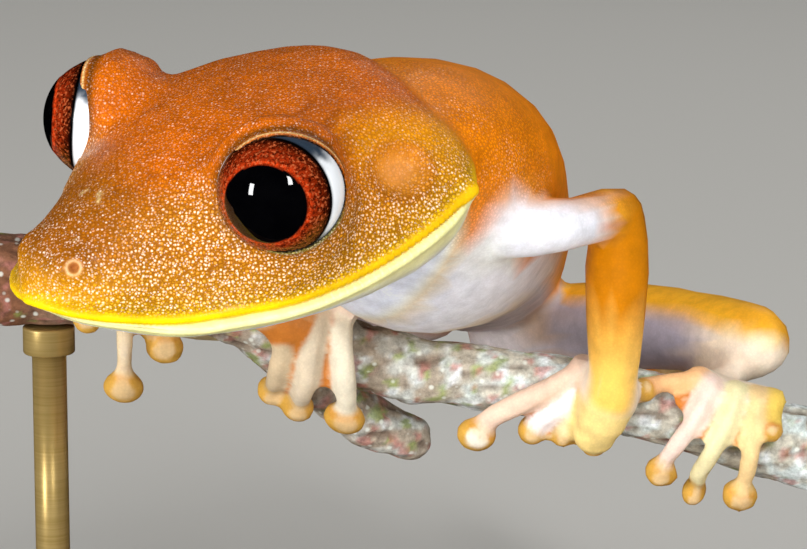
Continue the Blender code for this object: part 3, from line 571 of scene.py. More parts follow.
def on_limb(places, limb):
    """How far each place is from a limb's own line, in limb thicknesses, and how far along it."""
    start, end, thick = np.array(limb[0]), np.array(limb[1]), limb[2]
    run = end - start
    far = np.clip((places - start) @ run / (run @ run), 0.0, 1.0)
    return np.linalg.norm(places - start - far[:, None] * run, axis=1) / thick, far


places = points_of(skin)
head_place = in_head(places)
mirrored = to_left(head_place)
outward = normals_of(skin)
x, y, z = places.T
out_x, out_y, out_z = outward.T
fore, beside, above = mirrored.T  # in the head: forward, away from its middle, and up
coat = np.tile(np.array(linear("#F88C00")), (len(places), 1))

spine_z = np.interp(y, *zip(*SPINE))
of_trunk = soft_step(y, -18.0, -15.5)
uneven = grain(places, 1.6)
wash(coat, "#F07200", soft_step(y, -10.0, 10.0) * 0.7)
wash(coat, "#E89A38", of_trunk * soft_step(z - spine_z + 0.5 * uneven, 0.2, -1.8) * 0.8)
side_line = spine_z - 1.1 - 2.2 * soft_step(y, -12.5, -7.0)
below = soft_step(z - side_line + 0.6 * uneven, 0.0, -1.7) * of_trunk
wash(coat, "#F2F2FA", below)
wash(coat, "#F6E6E0", below * soft_step(y, -9.0, 0.0) * 0.6)

height, _, _ = mouth_measure(head_place)
of_head = soft_step(fore, -12.6, -10.8) * soft_step(y, -7.0, -9.0)
low_on_head = soft_step(above - 0.12 * fore, 1.6, -2.0) * soft_step(beside, 2.0, 5.0)
snout_top = soft_step(fore, 2.5, 6.5)
jaw = soft_step(fore, 0.0, -7.0)
head_coats = (  # laid one over another
    ("#D26800", 1.0),
    ("#985A06", snout_top * 0.85),
    ("#D6880A", low_on_head),
    ("#F09A08", soft_step(fore, -3.5, -6.0) * soft_step(beside, 5.0, 8.0)),  # round the ear
    ("#E09C0C", soft_step(height, 3.2, 1.0)),  # the cheek, then three coats of the upper lip
    ("#F0BC08", soft_step(height, 1.3, 0.45)),
    ("#FDD600", soft_step(height, 0.6, 0.35) * soft_step(fore, -4.0, 4.0)),
    ("#FFFAB0", soft_step(height, 0.03, -0.05)),  # the lower lip, then the throat
    ("#EEF2FF", soft_step(height, -0.8, -1.25) * (1 - 0.9 * jaw * soft_step(height, -3.0, -1.2))),
)
for chart_colour, share in head_coats:
    wash(coat, chart_colour, of_head * share)
print("coat laid on", len(coat), "vertices")

# %% Eyelids, ear, streaks and flecks
ear = ear_measure(head_place)
wash(coat, "#CF8A4C", of_head * soft_step(ear, EAR_RADIUS + 0.1, EAR_RADIUS - 0.5) * 0.85)
wash(coat, "#B9601A", of_head * band(ear, EAR_RADIUS + 0.1, 0.28) * 0.45)
streak = grain(np.stack([fore * 0.3, beside * 1.3 - fore * 0.35, above], 1), 0.9, 7)  # drawn out lengthways
wash(coat, "#8A3E04", of_head * soft_step(streak, 0.18, 0.5) * soft_step(height, 4.6, 6.2) * 0.42)
fleck = grain(mirrored, 0.75, 3.0) * soft_step(fore, 3.5, 6.5) * of_head
wash(coat, "#F0DC9A", soft_step(fleck, 0.4, 0.6) * soft_step(height, 3.0, 4.2) * 0.7)
to_nostril = away_from(NOSTRIL, mirrored)
wash(coat, "#F0D0A0", band(to_nostril, 0.4, 0.09) * (0.5 + 0.4 * grain(mirrored, 0.3, 2.0)))
# Painted shade: the pit of each nostril is painted darker, for the shade inside its opening.
wash(coat, "#A8683A", soft_step(to_nostril, 0.34, 0.22) * 0.8)
for side in (1, -1):
    rim, reach, out = eye_measure(head_place, side)
    by_eye = (reach < 4.4) & (rim < 2.0)
    lower, upper = soft_step(out[:, 2], -0.15, -0.45), soft_step(out[:, 2], 0.25, 0.5)
    round_it = band(rim, 0.6, 0.3) * soft_step(out[:, 2], -0.1, 0.3)
    wash(coat, "#6A3C04", by_eye * round_it * 0.85)
    wash(coat, "#B4A450", by_eye * soft_step(rim, 0.26, 0.18) * lower)
    wash(coat, "#FFE9A0", by_eye * band(rim, 0.2, 0.08) * upper * 0.6)
    # Painted shade: the inner wall of the lid, where it meets the eyeball, is painted near black.
    wash(coat, "#0A0806", by_eye * soft_step(rim, 0.07, 0.03))
print("lids and ear painted")

# %% Limbs
nearest_limb = np.min([on_limb(places, limb)[0] for limb in LIMBS.values()], axis=0)
for name, limb in LIMBS.items():
    away, far = on_limb(places, limb)
    here = soft_step(away, 1.3, 1.0) * soft_step(away - nearest_limb, 0.25, 0.0) * (1 - of_head)
    if "upper_arm" in name:
        front = soft_step(-out_y - 0.5 * out_z, -0.5, 0.1)
        front *= soft_step(y - limb[0][1] - far * (limb[1][1] - limb[0][1]), 1.2, 0.2)
        wash(coat, "#EC8A08", here * soft_step(far, 0.12, 0.3))
        front *= soft_step(np.abs(out_x), 0.75, 0.6)  # not on the side of the trunk
        wash(coat, "#F4F4F0", here * front * soft_step(far + 0.1 * uneven, 0.9, 0.68))
        wash(coat, "#F8B030", here * soft_step(far + 0.1 * uneven, 0.76, 0.95))
    elif "forearm" in name:
        wash(coat, "#CC7C00", here)
        wash(coat, "#F6C45C", here * soft_step(far + 0.05 * uneven, 0.62, 0.95))
    elif "thigh" in name:
        high = np.maximum(out_z, 1.2 * np.abs(out_x) * soft_step(far, 0.8, 0.95)) + 0.2 * uneven
        lower = soft_step(high, 0.75, 0.45)
        wash(coat, "#FFBC2A", here * soft_step(far, 0.15, 0.3))
        wash(coat, "#BDB6C2", here * lower * soft_step(far, 0.15, 0.35) * soft_step(far, 1.0, 0.7))
    else:
        wash(coat, "#E29028", here)
        inner = 1 - np.maximum(soft_step(out_z, 0.3, 0.65), soft_step(np.abs(out_x), 0.6, 0.9))
        wash(coat, "#F9D878", here * inner * soft_step(far + 0.06 * uneven, 0.3, 0.12))
        wash(coat, "#FAE4A8", here * soft_step(out_z, -0.1, -0.5))
inner = soft_step(out_z, 0.6, 0.3) * soft_step(out_x, 0.85, 0.55)
front_knee = inner * soft_step(x, 12.0, 14.0) * soft_step(y, 9.0, 5.0) * soft_step(out_y, 0.5, -0.1)
wash(coat, "#B9B4C6", front_knee * band(x, 16.2, 2.6) * band(z, 25.4, 2.0))
wash(coat, "#FFF2C0", front_knee * band(x, 20.0, 2.0) * band(z, 26.2, 1.8))
print("limbs painted")

# %% [markdown]
# Every finger and toe is a pale ridge that ends in a round disc, and between two of them runs an orange
# web. So the distance to the nearest line of a finger says how pale the skin is there.

# %% Hands and feet
DIGITS = (  # its colour, four points from its root to its end, then the middle of its disc
    ("#E9C9B2", (10.6, -5.7, 26.1), (8.7, -6.8, 24.9), (5.6, -6.9, 23.3), (4.2, -6.0, 22.0),
     (4.2, -6.2, 21.8)),
    ("#FFF1EE", (10.9, -6.2, 25.6), (9.8, -6.8, 24.3), (8.1, -6.5, 23.0), (7.4, -5.8, 22.1),
     (7.4, -5.8, 22.0)),
    ("#FDF0BC", (11.8, -6.4, 25.2), (11.0, -6.8, 24.0), (9.7, -6.6, 22.8), (9.2, -6.0, 22.0),
     (9.2, -6.0, 21.9)),
    ("#F8DD90", (12.8, -6.6, 24.6), (12.2, -6.9, 23.4), (11.4, -6.5, 22.2), (11.0, -5.8, 21.4),
     (10.9, -5.8, 21.3)),
    ("#E6DCC4", (-3.4, -5.0, 29.1), (-3.5, -6.6, 27.3), (-3.3, -6.6, 24.6), (-3.3, -5.2, 22.8),
     (-3.4, -5.3, 22.6)),
    ("#DCCBB0", (-4.6, -5.0, 29.6), (-5.1, -6.8, 27.7), (-5.6, -6.5, 24.9), (-6.0, -4.4, 23.3),
     (-6.1, -4.5, 23.1)),
    ("#D6BF9C", (-5.8, -5.0, 30.1), (-6.5, -6.7, 28.1), (-7.2, -6.1, 25.4), (-7.5, -4.0, 24.2),
     (-7.6, -4.0, 23.9)),
    ("#D6BF9C", (-6.8, -4.7, 30.7), (-7.1, -5.3, 30.4), (-7.5, -5.8, 30.1), (-7.8, -6.2, 29.6),
     (-7.8, -6.2, 29.6)),
    ("#F6BE86", (16.9, -5.3, 25.1), (16.0, -5.8, 24.9), (14.4, -6.1, 24.8), (13.7, -6.4, 24.5),
     (13.7, -6.5, 24.5)),
    ("#F5DACB", (17.6, -5.7, 24.7), (16.8, -6.9, 23.2), (15.5, -6.9, 21.3), (14.9, -5.7, 19.9),
     (14.8, -5.9, 19.6)),
    ("#EADFAE", (19.1, -5.8, 24.3), (18.3, -7.2, 22.4), (17.2, -6.7, 20.1), (16.6, -4.9, 18.7),
     (16.5, -5.1, 18.4)),
    ("#F0CE94", (20.3, -5.8, 24.0), (20.0, -7.1, 22.2), (19.7, -6.9, 19.9), (19.4, -5.7, 18.4),
     (19.4, -5.9, 18.1)),
    ("#E8C45C", (21.3, -5.7, 23.8), (21.2, -6.2, 23.4), (21.1, -6.6, 22.8), (21.0, -6.8, 22.2),
     (21.0, -6.9, 22.3)),
    ("#DEBB84", (-12.1, -3.9, 32.6), (-11.8, -4.8, 32.2), (-11.2, -5.6, 31.4), (-11.0, -6.1, 30.7),
     (-11.0, -6.2, 30.7)),
    ("#E6CFA6", (-13.2, -4.2, 32.7), (-13.2, -6.1, 31.6), (-13.3, -7.0, 29.4), (-13.5, -6.4, 27.3),
     (-13.6, -6.7, 27.1)),
    ("#DEBB84", (-14.4, -4.3, 32.9), (-14.5, -5.8, 31.9), (-14.7, -6.6, 30.3), (-14.8, -6.5, 28.8),
     (-14.8, -6.7, 28.7)),
    ("#E6CFA6", (-15.7, -4.3, 33.1), (-15.7, -7.0, 31.8), (-15.7, -8.1, 28.3), (-15.9, -6.4, 25.1),
     (-16.0, -6.6, 24.7)),
    ("#DEBB84", (-16.9, -4.2, 33.3), (-17.2, -5.9, 32.2), (-17.7, -6.7, 30.5), (-17.9, -6.5, 28.9),
     (-17.9, -6.7, 28.8)),
)

TO_VIEWER = (-0.9, 0.3)  # Y and Z of the way from the branch to whoever looks at it
FAR_OFF = 9.0
STEPS = 8  # places on each of the three stretches of a digit
BARELY = 1e-6  # where no digit is near, so that nothing is divided by 0

off_line = np.full(len(places), FAR_OFF)
off_disc = np.full(len(places), FAR_OFF)
down_digit = np.zeros(len(places))
own_colour = np.full((len(places), 4), BARELY)
own_weight = np.full(len(places), BARELY)
close = np.nonzero(off_perch(places) < 8.0)[0]
for colour, *line, disc in DIGITS:
    which, away = nearest(places[close], along(line, STEPS))
    nearer = away < off_line[close]
    down_digit[close[nearer]] = which[nearer] / (3.0 * STEPS)
    share = band(away, 0.0, 0.45)
    own_colour[close] += share[:, None] * np.array(linear(colour))
    own_weight[close] += share
    off_line[close] = np.minimum(off_line[close], away)
    off_disc[close] = np.minimum(off_disc[close], away_from(disc, places[close]))
ground = np.interp(x, (-18, 22), (34.6, 26.6))
paw = soft_step(off_perch(places), 6.0, 5.0) * soft_step(z - ground, 0.9, -0.7)
paw = np.maximum(paw, soft_step(off_disc, 1.8, 1.5))
off_bark = (places[:, 1:] - perch_middle(places)) / off_perch(places)[:, None] + TO_VIEWER
faces_front_light = np.sum(outward[:, 1:] * off_bark, axis=1) / np.linalg.norm(off_bark, axis=1)
wash(coat, "#F6E4CE", paw * soft_step(x, -9.0, 4.0))
wash(coat, "#D8B48C", paw * soft_step(x, 4.0, -9.0))
between = soft_step(off_line, 0.5, 0.75) * soft_step(off_line, 2.1, 1.6) * soft_step(down_digit, 0.14, 0.32)
between *= soft_step(away_from(JOINTS[0][0], places), 1.7, 2.5)
wash(coat, "#D07E34", paw * between)
on_digit = (paw * soft_step(off_line, 0.95, 0.7))[:, None]
coat = coat * (1 - on_digit) + own_colour / own_weight[:, None] * on_digit
on_disc = paw * soft_step(off_disc, 1.5, 1.2) * soft_step(down_digit, 0.75, 0.95)
wash(coat, "#D6A448", on_disc)
first = soft_step(away_from(DIGITS[0][-1], places), 2.0, 1.6)
# Painted light: the part of each disc that faces the viewer and the front lamp is painted paler.
wash(coat, "#F4ECD8", on_disc * soft_step(faces_front_light, 0.75, 0.95) * (0.3 + 0.7 * first))
for place, radius in WRIST_FLESH[1:]:
    wash(coat, "#F8DA8C", soft_step(away_from(place, places), radius + 0.7, radius + 0.1))
store_coat(skin, coat)
print("paws painted")

# %% How granular each place is
cheek = of_head * soft_step(height, 0.5, 0.8) * (0.45 + 0.55 * low_on_head)
shoulder = soft_step(np.abs(y + 15.0), 6.0, 2.0) * (1 - of_head) * soft_step(below, 0.3, 0.0)
smooth_ear = 1 - 0.8 * soft_step(ear, EAR_RADIUS + 0.1, EAR_RADIUS - 0.3)
smooth_ear *= soft_step(to_nostril, 0.35, 0.6)
tips = of_head * (0.35 + 0.65 * low_on_head + 0.3 * soft_step(fore, 6.0, 9.0)) * soft_step(height, 0.5, 0.9)
tips = (tips + 0.4 * shoulder * soft_step(uneven, -0.1, 0.3)) * smooth_ear
for side in (1, -1):
    rim, reach, _ = eye_measure(head_place, side)
    tips = tips * np.where(reach < 4.4, soft_step(rim, 0.03, 0.08), 1.0)
store_measure(skin, "tips", np.clip(tips, 0.0, 1.0))
store_measure(skin, "relief", np.clip(0.07 + 0.93 * np.maximum(cheek, 0.5 * shoulder) * smooth_ear, 0.0, 1.0))
print("granules on", round(float((cheek > 0.2).mean()) * 100), "% of the skin")

# %% [markdown]
# ## Frog skin
# Common name: painted and varnished model skin, here of a tree frog. It is cast, painted from pale to dark
# in thin layers and given a satin varnish, so that it looks moist. Up close it shows round granules a fifth
# of a millimetre wide, each painted lighter in its middle and darker at its edge, a painted light and shade of
# its dome. On the head many of them are tipped with cream, with smaller pale dots between, and the gaps are
# brown, partly the skin's own colour and partly painted shade between the granules. That gives the eye a fine
# glitter of pale points on gold.

# %% Frog skin
GRANULE = 0.2  # millimetres from one granule to the next

skin_finish, tree, shader, place = finish("moist granular frog skin, painted and varnished", {
    "Roughness": 0.45, "Specular IOR Level": 0.1, "Coat Weight": 0.1, "Coat Roughness": 0.2,
    "Subsurface Weight": 0.12, "Subsurface Scale": 0.0006, "Subsurface Radius": (1.0, 0.6, 0.35)})
coat_here = add(tree, "Attribute", {"attribute_name": "coat"})
tips_here = add(tree, "Attribute", {"attribute_name": "tips"}).outputs["Fac"]
relief_here = add(tree, "Attribute", {"attribute_name": "relief"}).outputs["Fac"]

cells = {"Scale": 1 / (GRANULE * MM), "Randomness": 0.85}
granules = add(tree, "TexVoronoi", cells, {"Vector": place})
edges = add(tree, "TexVoronoi", {"feature": "DISTANCE_TO_EDGE", **cells}, {"Vector": place})
finer = add(tree, "TexVoronoi", {"Scale": 1 / (0.8 * GRANULE * MM), "Randomness": 0.9}, {"Vector": place})
mottle = add(tree, "TexNoise", {"Scale": 700.0, "Detail": 5.0, "Roughness": 0.62}, {"Vector": place})
speckle = add(tree, "TexNoise", {"Scale": 9000.0, "Detail": 2.0}, {"Vector": place})

tone = add(tree, "MapRange", {1: 0.3, 2: 0.7, 3: 0.82, 4: 1.14}, {0: mottle})
toned = add(tree, "VectorMath", {"operation": "SCALE"}, {0: coat_here, "Scale": tone})
# Painted light and shade: each granule is lighter in its middle and darker towards its edge, like a lit dome.
swing = add(tree, "MapRange", {1: 0.12, 2: 0.5, 3: 0.34, 4: -0.3}, {0: granules})
gain = add(tree, "Math", {"operation": "MULTIPLY_ADD", 2: 1.0}, {0: swing, 1: relief_here})
dome_light_and_shade = add(tree, "VectorMath", {"operation": "SCALE"}, {0: toned, "Scale": gain})
# The gaps between granules are darkened brown: partly the skin's own colour, partly painted shade.
gaps = add(tree, "MapRange", {1: 0.16, 2: 0.0, 3: 0.0, 4: 0.6}, {0: edges})
gaps_here = add(tree, "Math", {"operation": "MULTIPLY"}, {0: gaps, 1: relief_here})
darker = add(tree, "Mix", {"data_type": "RGBA", "blend_type": "MULTIPLY", 7: linear("#A0601A")},
             {0: gaps_here, 6: dome_light_and_shade})
dots = add(tree, "MapRange", {1: 0.38, 2: 0.14, 3: 0.0, 4: 1.0}, {0: granules})
chance = add(tree, "SeparateColor", {}, {0: granules.outputs["Color"]})
chosen = add(tree, "Math", {"operation": "ADD"}, {0: chance, 1: tips_here})
picked = add(tree, "MapRange", {1: 1.0, 2: 1.5, 3: 0.0, 4: 1.0}, {0: chosen})
tipped = add(tree, "Math", {"operation": "MULTIPLY"}, {0: dots, 1: picked})
small = add(tree, "MapRange", {1: 0.36, 2: 0.12, 3: 0.0, 4: 0.75}, {0: finer})
small = add(tree, "Math", {"operation": "MULTIPLY"}, {0: small, 1: tips_here})
tipped = add(tree, "Math", {"operation": "MAXIMUM"}, {0: tipped, 1: small})
tipped = add(tree, "Math", {"operation": "MULTIPLY", 1: 0.85}, {0: tipped})
painted = add(tree, "Mix", {"data_type": "RGBA", 7: linear("#FFEEE0")},
              {0: tipped, 6: darker.outputs[2]})
rounded = add(tree, "Math", {"operation": "MINIMUM", 1: 0.28}, {0: edges})
relief = add(tree, "Math", {"operation": "MULTIPLY"}, {0: rounded, 1: relief_here})
bumps = add(tree, "Bump", {"Strength": 0.9, "Distance": 0.15 * MM},
            {"Height": relief})
fine = add(tree, "Bump", {"Strength": 0.12, "Distance": 0.03 * MM},
           {"Height": speckle, "Normal": bumps})
feed(tree, shader, {"Base Color": painted.outputs[2], "Normal": fine})
skin.data.materials.append(skin_finish)
skin.data.shade_smooth()
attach(skin, "root")
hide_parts(*FLESH)
print("skin finished")

# %% [markdown]
# ## Eyes
# A model's eye is a ball painted in layers and then coated with clear resin. The ball is white, and its upper
# part is painted slate, partly its own colour and partly painted shade under the upper lid. Its iris is a very
# shallow trough of rust red between a black ring and the pupil, mottled with fine specks and brighter next to
# the pupil. The pupil is deep black under the gloss of the resin, so that nothing shows in it but the two
# lamps.

# %% The painted ball
BALL_RADIUS = 3.3
IRIS_RADIUS = 3.08
RING_WIDTH = 0.08
PUPIL_RADIUS = 2.23
PUPIL_SQUASH = 0.92  # a frog's pupil is a little wider than high
IRIS_TROUGH = 0.04  # how far the iris lies below the ball's own surface

# Common name: model eye. Its pupil is black enamel under polished clear resin. It gives the eye a deep
# black with nothing in it but two sharp white lights.
pupil_finish, tree, shader, place = finish("black pupil under clear resin", {
    "Roughness": 0.03, "Specular IOR Level": 0.4})
depth_of_black = add(tree, "TexNoise", {"Scale": 900.0}, {"Vector": place})
black = add(tree, "ValToRGB", {"stops": ((0.3, "#010102"), (0.7, "#030304"))}, {"Fac": depth_of_black})
feed(tree, shader, {"Base Color": black})

# The iris and the white are artist's paint under the same resin. They give the eye rust red specks a fifth
# of a millimetre wide, with a few paler ones, under a softer shine.
eye_finish, tree, shader, place = finish("painted iris under clear resin", {
    "Roughness": 0.12, "Specular IOR Level": 0.25})
coat_here = add(tree, "Attribute", {"attribute_name": "coat"})
iris_here = add(tree, "Attribute", {"attribute_name": "relief"}).outputs["Fac"]
specks = add(tree, "TexNoise", {"Scale": 4600.0, "Detail": 3.0, "Roughness": 0.8}, {"Vector": place})
swing = add(tree, "MapRange", {1: 0.38, 2: 0.62, 3: -0.75, 4: 1.1}, {0: specks})
gain = add(tree, "Math", {"operation": "MULTIPLY_ADD", 2: 1.0}, {0: swing, 1: iris_here})
speckled = add(tree, "VectorMath", {"operation": "SCALE"}, {0: coat_here, "Scale": gain})
threads = add(tree, "TexNoise", {"Scale": 6500.0, "Detail": 1.0}, {"Vector": place})
lit = add(tree, "MapRange", {1: 0.55, 2: 0.68, 3: 0.0, 4: 0.6}, {0: threads})
lit = add(tree, "Math", {"operation": "MULTIPLY"}, {0: lit, 1: iris_here})
flecked = add(tree, "Mix", {"data_type": "RGBA", 7: linear("#C8663A")},
              {0: lit, 6: speckled})
feed(tree, shader, {"Base Color": flecked.outputs[2]})

for side, word in ((1, "left"), (-1, "right")):
    bpy.ops.mesh.primitive_uv_sphere_add(segments=128, ring_count=96, radius=MM)
    ball = bpy.context.object
    ball.name = "eyeball_" + word
    rays = points_of(ball)
    wide = np.hypot(rays[:, 0], rays[:, 1]) * BALL_RADIUS
    ahead = rays[:, 2] > 0
    from_pupil = np.hypot(rays[:, 0], rays[:, 1] / PUPIL_SQUASH) * BALL_RADIUS - PUPIL_RADIUS
    trough = soft_step(wide, IRIS_RADIUS, IRIS_RADIUS - 0.3) * soft_step(from_pupil, -0.1, 0.2)
    shaped = rays * (BALL_RADIUS - IRIS_TROUGH * trough * ahead)[:, None]

    aim, across, high = axes_on(direction(GAZE_TURN[side], GAZE_LIFT, side))
    around = np.arctan2(rays[:, 1], rays[:, 0] * side)
    coat = np.tile(np.array(linear("#F6FAFF")), (len(rays), 1))
    up_here = np.sin(around)
    # The ball's upper part is painted slate: partly its own colour, partly painted shade of the upper lid.
    wash(coat, "#2E3A48", soft_step(up_here + 0.1 * grain(rays, 0.12), 0.45, 0.75))
    wash(coat, "#2A2C22", soft_step(up_here, -0.45, -0.75))
    wash(coat, "#020202", ahead * soft_step(wide, IRIS_RADIUS + 0.06, IRIS_RADIUS + 0.01))
    inside = ahead * soft_step(wide, IRIS_RADIUS - RING_WIDTH + 0.05, IRIS_RADIUS - RING_WIDTH - 0.06)
    wash(coat, "#380D02", inside)
    wash(coat, "#681B05", inside * soft_step(wide, 3.0, 2.62))
    low_rim = soft_step(up_here, -0.1, -0.8) * soft_step(wide, 2.36, 2.78)
    wash(coat, "#5C3A10", inside * low_rim * 0.75)
    wash(coat, "#A8300C", inside * band(from_pupil, 0.1, 0.1) * 0.8)
    wash(coat, "#020203", ahead * soft_step(from_pupil, 0.02, -0.04))
    store_coat(ball, coat)
    store_measure(ball, "relief", inside * soft_step(from_pupil, 0.0, 0.05))
    aimed = shaped @ np.array((across, high, aim))
    move_points(ball, from_head(aimed + (0.0, side * EYE_SPREAD, 0.0)))
    ball.data.shade_smooth()
    ball.data.materials.append(eye_finish)
    ball.data.materials.append(pupil_finish)
    for face in ball.data.polygons:
        face.material_index = int(max(from_pupil[v] for v in face.vertices) < 0 and ahead[face.vertices[0]])
    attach(ball, "root")
    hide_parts("eye_" + word)
    print("eye", word, "has a pupil", round(2 * PUPIL_RADIUS, 1), "mm wide")

# %% [markdown]
# ## Weathered bark
# The perch is a dead twig that lichen has grown over: pinkish brown bark at one end, chalky blue-white
# crust at the other, with small green and pink rosettes. The bark is shaped with long cracks up to a fifth
# of a millimetre deep and crusts that stand only a twentieth of a millimetre up, so that the fingers still
# lie on it, and the shader adds the finest grain.

# %% Branch
branch = cad_copy("perch_branch", "branch_bark")
apply(branch, "REMESH", mode="VOXEL", voxel_size=0.3 * MM)
move_points(branch, relaxed(points_of(branch), edges_of(branch), 14))
places, outward = points_of(branch), normals_of(branch)
long_ways = places * (0.22, 1.0, 1.0)
cracks = soft_step(grain(long_ways, 0.55, 2.0), 0.05, 0.45)
crust = soft_step(grain(places, 1.1, 5.0), -0.05, 0.25)
move_points(branch, places + outward * (0.05 * crust - 0.2 * cracks * (1 - 0.6 * crust))[:, None])

coat = np.tile(np.array(linear("#7E543C")), (len(places), 1))
across = places[:, 0] + 5.0 * grain(places, 3.0, 1.0)
wash(coat, "#A89A88", soft_step(across, -22.0, -6.0))
wash(coat, "#C4C2B4", soft_step(across, -2.0, 8.0) * 0.8)
wash(coat, "#CBD6D4", crust * soft_step(across, -16.0, 14.0))
chalky = soft_step(grain(places, 0.7, 9.0), 0.1, 0.35) * soft_step(across, -20.0, 4.0)
wash(coat, "#E6ECEE", crust * chalky)
wash(coat, "#8A9A50", soft_step(grain(places, 0.9, 12.0), 0.26, 0.42) * 0.75)
wash(coat, "#B4756C", soft_step(grain(places, 0.8, 15.0), 0.26, 0.42) * 0.7)
wash(coat, "#54392A", cracks * (1 - crust) * 0.6)
at_cut = soft_step(np.abs(outward[:, 0]), 0.85, 0.95) * soft_step(np.abs(places[:, 0]), 34.5, 35.5)
wash(coat, "#C8AC84", at_cut)
store_coat(branch, coat)
print("bark has", len(branch.data.polygons), "faces")

# %% Bark finish
# Common name: dead twig with crustose lichen. A real twig is dried and sealed with matt lacquer. It gives
# the eye grey, green and pink flecks half a millimetre wide on dull bark.
bark, tree, shader, place = finish("weathered bark with lichen, dried and sealed", {
    "Roughness": 0.85, "Specular IOR Level": 0.3})
coat_here = add(tree, "Attribute", {"attribute_name": "coat"})
fine = add(tree, "TexNoise", {"Scale": 1900.0, "Detail": 6.0, "Roughness": 0.7}, {"Vector": place})
tone = add(tree, "MapRange", {1: 0.32, 2: 0.68, 3: 0.6, 4: 1.4}, {0: fine})
toned = add(tree, "VectorMath", {"operation": "SCALE"}, {0: coat_here, "Scale": tone})
spots = add(tree, "TexVoronoi", {"Scale": 1400.0, "Randomness": 1.0}, {"Vector": place})
pale = add(tree, "MapRange", {1: 0.26, 2: 0.12, 3: 0.0, 4: 0.65}, {0: spots})
spotted = add(tree, "Mix", {"data_type": "RGBA", 7: linear("#E8ECE2")},
              {0: pale, 6: toned})
rough = add(tree, "Bump", {"Strength": 0.7, "Distance": 0.12 * MM}, {"Height": fine})
feed(tree, shader, {"Base Color": spotted.outputs[2], "Normal": rough})
branch.data.materials.append(bark)
branch.data.shade_smooth()
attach(branch, "root")
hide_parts("perch_branch")
print("bark finished")

# %% [markdown]
# ## Display stand
# A plain oiled walnut board carries two brass rods. Each rod stands in a turned collar and ends in a small
# dished cup under the branch.

# %% Walnut and brass
# Common name: American walnut, planed, rounded over and oiled. It gives the eye dark brown figure in long
# bands, with fine darker pores drawn out along the grain.
wood, tree, shader, place = finish("oiled walnut", {"Roughness": 0.42, "Specular IOR Level": 0.4})
drawn = add(tree, "Mapping", {"Scale": (0.09, 1.0, 1.0)}, {"Vector": place})
bands = add(tree, "TexNoise", {"Scale": 210.0, "Detail": 4.0, "Distortion": 0.6}, {"Vector": drawn})
figure = add(tree, "ValToRGB", {"stops": ((0.36, "#2B180E"), (0.5, "#4A2C1A"), (0.64, "#6B442A"))},
             {"Fac": bands})
pores = add(tree, "TexNoise", {"Scale": 2600.0, "Detail": 2.0}, {"Vector": drawn})
open_pores = add(tree, "MapRange", {1: 0.6, 2: 0.7, 3: 0.0, 4: 0.7}, {0: pores})
grained = add(tree, "Mix", {"data_type": "RGBA", 7: linear("#1A0E08")},
              {0: open_pores, 6: figure})
dents = add(tree, "Bump", {"Strength": 0.3, "Distance": 0.05 * MM, "invert": True},
            {"Height": open_pores})
feed(tree, shader, {"Base Color": grained.outputs[2], "Normal": dents})

# Common name: brass rod, turned and brushed, then lacquered. It gives the eye fine rings round the rod that
# spread each highlight. They are drawn a tenth of a millimetre wide, coarser than real ones, so that they
# show.
metal, tree, shader, place = finish("brushed brass", {"Metallic": 0.6})
rings = add(tree, "Mapping", {"Scale": (0.02, 0.02, 1.0)}, {"Vector": place})
brushing = add(tree, "TexNoise", {"Scale": 9000.0, "Detail": 3.0}, {"Vector": rings})
dullness = add(tree, "MapRange", {1: 0.3, 2: 0.7, 3: 0.3, 4: 0.42}, {0: brushing})
hue = add(tree, "ValToRGB", {"stops": ((0.3, "#C2A35E"), (0.7, "#D2B574"))}, {"Fac": brushing})
scratches = add(tree, "Bump", {"Strength": 0.1, "Distance": 0.005 * MM}, {"Height": brushing})
feed(tree, shader, {"Base Color": hue, "Roughness": dullness, "Normal": scratches})
print("wood and brass ready")

# %% Board, rods, collars and cups
board = frame["nodes"]["stand_base"]
board.data.materials.clear()
board.data.materials.append(wood)


COLLAR = {"radius": 1.9, "dish": 0.15}
CUP = {"radius": 1.5, "dish": 0.2}
COLLAR_LOW, COLLAR_HIGH = 4.0, 5.6  # its foot is on the board
CUP_DEPTH, CUP_RISE = 1.5, 0.1  # below and above the end of the rod


def turned(name, middle, low, high, radius, dish):
    """A short turned brass piece: a bevelled cylinder whose top is inset and dished."""
    tall = high - low
    bpy.ops.mesh.primitive_cylinder_add(
        vertices=64, radius=radius * MM, depth=tall * MM, location=Vector((*middle, low + tall / 2)) * MM)
    piece = bpy.context.object
    piece.name = name
    bpy.ops.object.transform_apply()
    for face in piece.data.polygons:
        face.select = face.normal.z > 0.9
    bpy.ops.object.mode_set(mode="EDIT")
    bpy.ops.mesh.inset(thickness=0.3 * MM)
    bpy.ops.transform.translate(value=(0.0, 0.0, -dish * MM))
    bpy.ops.object.mode_set(mode="OBJECT")
    apply(piece, "BEVEL", width=0.12 * MM, segments=3, limit_method="ANGLE", angle_limit=0.6)
    piece.data.materials.append(metal)
    piece.data.shade_smooth()
    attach(piece, "root")


for word, middle, top in (("left", (-20.5, -3.32), 27.7), ("right", (27.0, -3.75), 17.24)):
    rod = cad_copy("stand_rod_" + word, "brass_rod_" + word)
    rod.data.materials.append(metal)
    rod.data.shade_smooth()
    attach(rod, "root")
    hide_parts("stand_rod_" + word)
    turned("collar_" + word, middle, COLLAR_LOW, COLLAR_HIGH, **COLLAR)
    turned("cup_" + word, middle, top - CUP_DEPTH, top + CUP_RISE, **CUP)
print("stand finished")

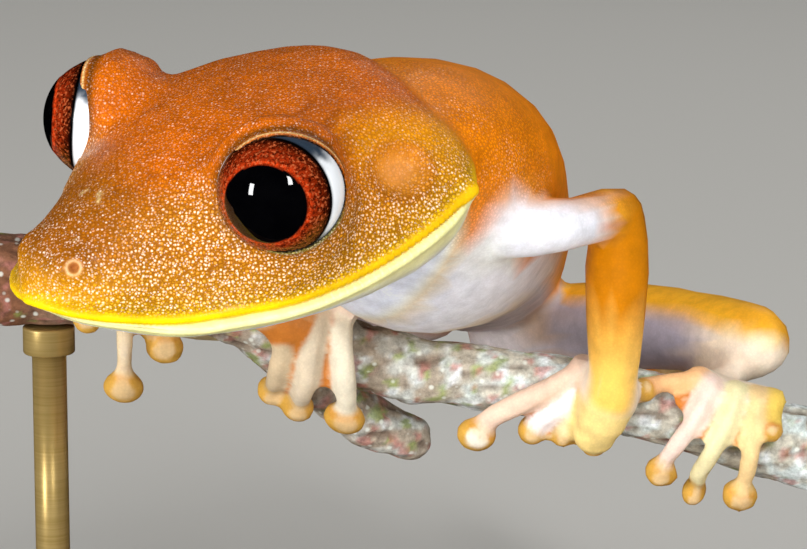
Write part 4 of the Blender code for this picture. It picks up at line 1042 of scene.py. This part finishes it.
# %% [markdown]
# ## Floor, light and camera
# Two lamps stand on either side of the camera, tall and narrow, and give the eye its two upright catch
# lights. A very large soft one behind the camera lights whatever faces the viewer, a low flat one lights
# the throat and the belly, and a weak one behind the frog draws its outline. The floor, the sky and the two
# soft lamps are left out of reflections, so that the pupils stay black. The camera has the photo's angle
# and nothing is out of focus.

# %% Floor and sky
bpy.ops.mesh.primitive_plane_add(size=6.0, location=(0, 0, -0.0002))
floor = bpy.context.object
floor.name = "floor"
plaster, tree, shader, place = finish("pale matt floor", {"Roughness": 0.9, "Base Color": linear("#DAD8D3")})
floor.data.materials.append(plaster)
floor.visible_glossy = False

world = bpy.data.worlds.new("studio")
bpy.context.scene.world = world
world.use_nodes = True
world.node_tree.nodes["Background"].inputs["Color"].default_value = linear("#ECECEA")
world.node_tree.nodes["Background"].inputs["Strength"].default_value = 0.42
world.cycles_visibility.glossy = False

# %% Lamps
LAMPS = (  # name, place, what it is aimed at, width and height, watts, and whether reflections show it
    ("key", (-317, -255, 105), (0, -15, 36), (58, 122), 0.7, True),
    ("fill", (110, -345, 235), (0, -15, 36), (54, 116), 0.62, True),
    ("front", (20, -380, 110), (0, -15, 32), (520, 420), 1.0, False),
    ("low", (-120, -260, 14), (0, -15, 30), (160, 20), 0.26, False),
    ("rim", (120, 300, 260), (0, 0, 35), (200, 120), 0.1, True),
)
for name, place, aim, (wide, high), watts, reflected in LAMPS:
    bpy.ops.object.light_add(type="AREA", location=Vector(place) * MM)
    lamp = bpy.context.object
    lamp.name = name
    lamp.data.shape = "RECTANGLE"
    lamp.data.size, lamp.data.size_y = wide * MM, high * MM
    lamp.data.energy = watts
    lamp.rotation_mode = "QUATERNION"
    lamp.rotation_quaternion = (Vector(aim) - Vector(place)).to_track_quat("-Z", "Y")
    lamp.visible_glossy = reflected

# %% Camera
CAMERA_PLACE, CAMERA_TILT = Vector((0.0, -219.63, 76.58)), 78.0  # the tilt is 90 where it looks level
LENS, SENSOR = 171.26, 36.0

bpy.ops.object.camera_add(location=CAMERA_PLACE * MM, rotation=(math.radians(CAMERA_TILT), 0.0, 0.0))
camera = bpy.context.object
camera.data.lens = LENS
camera.data.sensor_width = SENSOR
camera.data.clip_start = 5 * MM
bpy.context.scene.camera = camera
bpy.context.scene.view_settings.view_transform = "Standard"
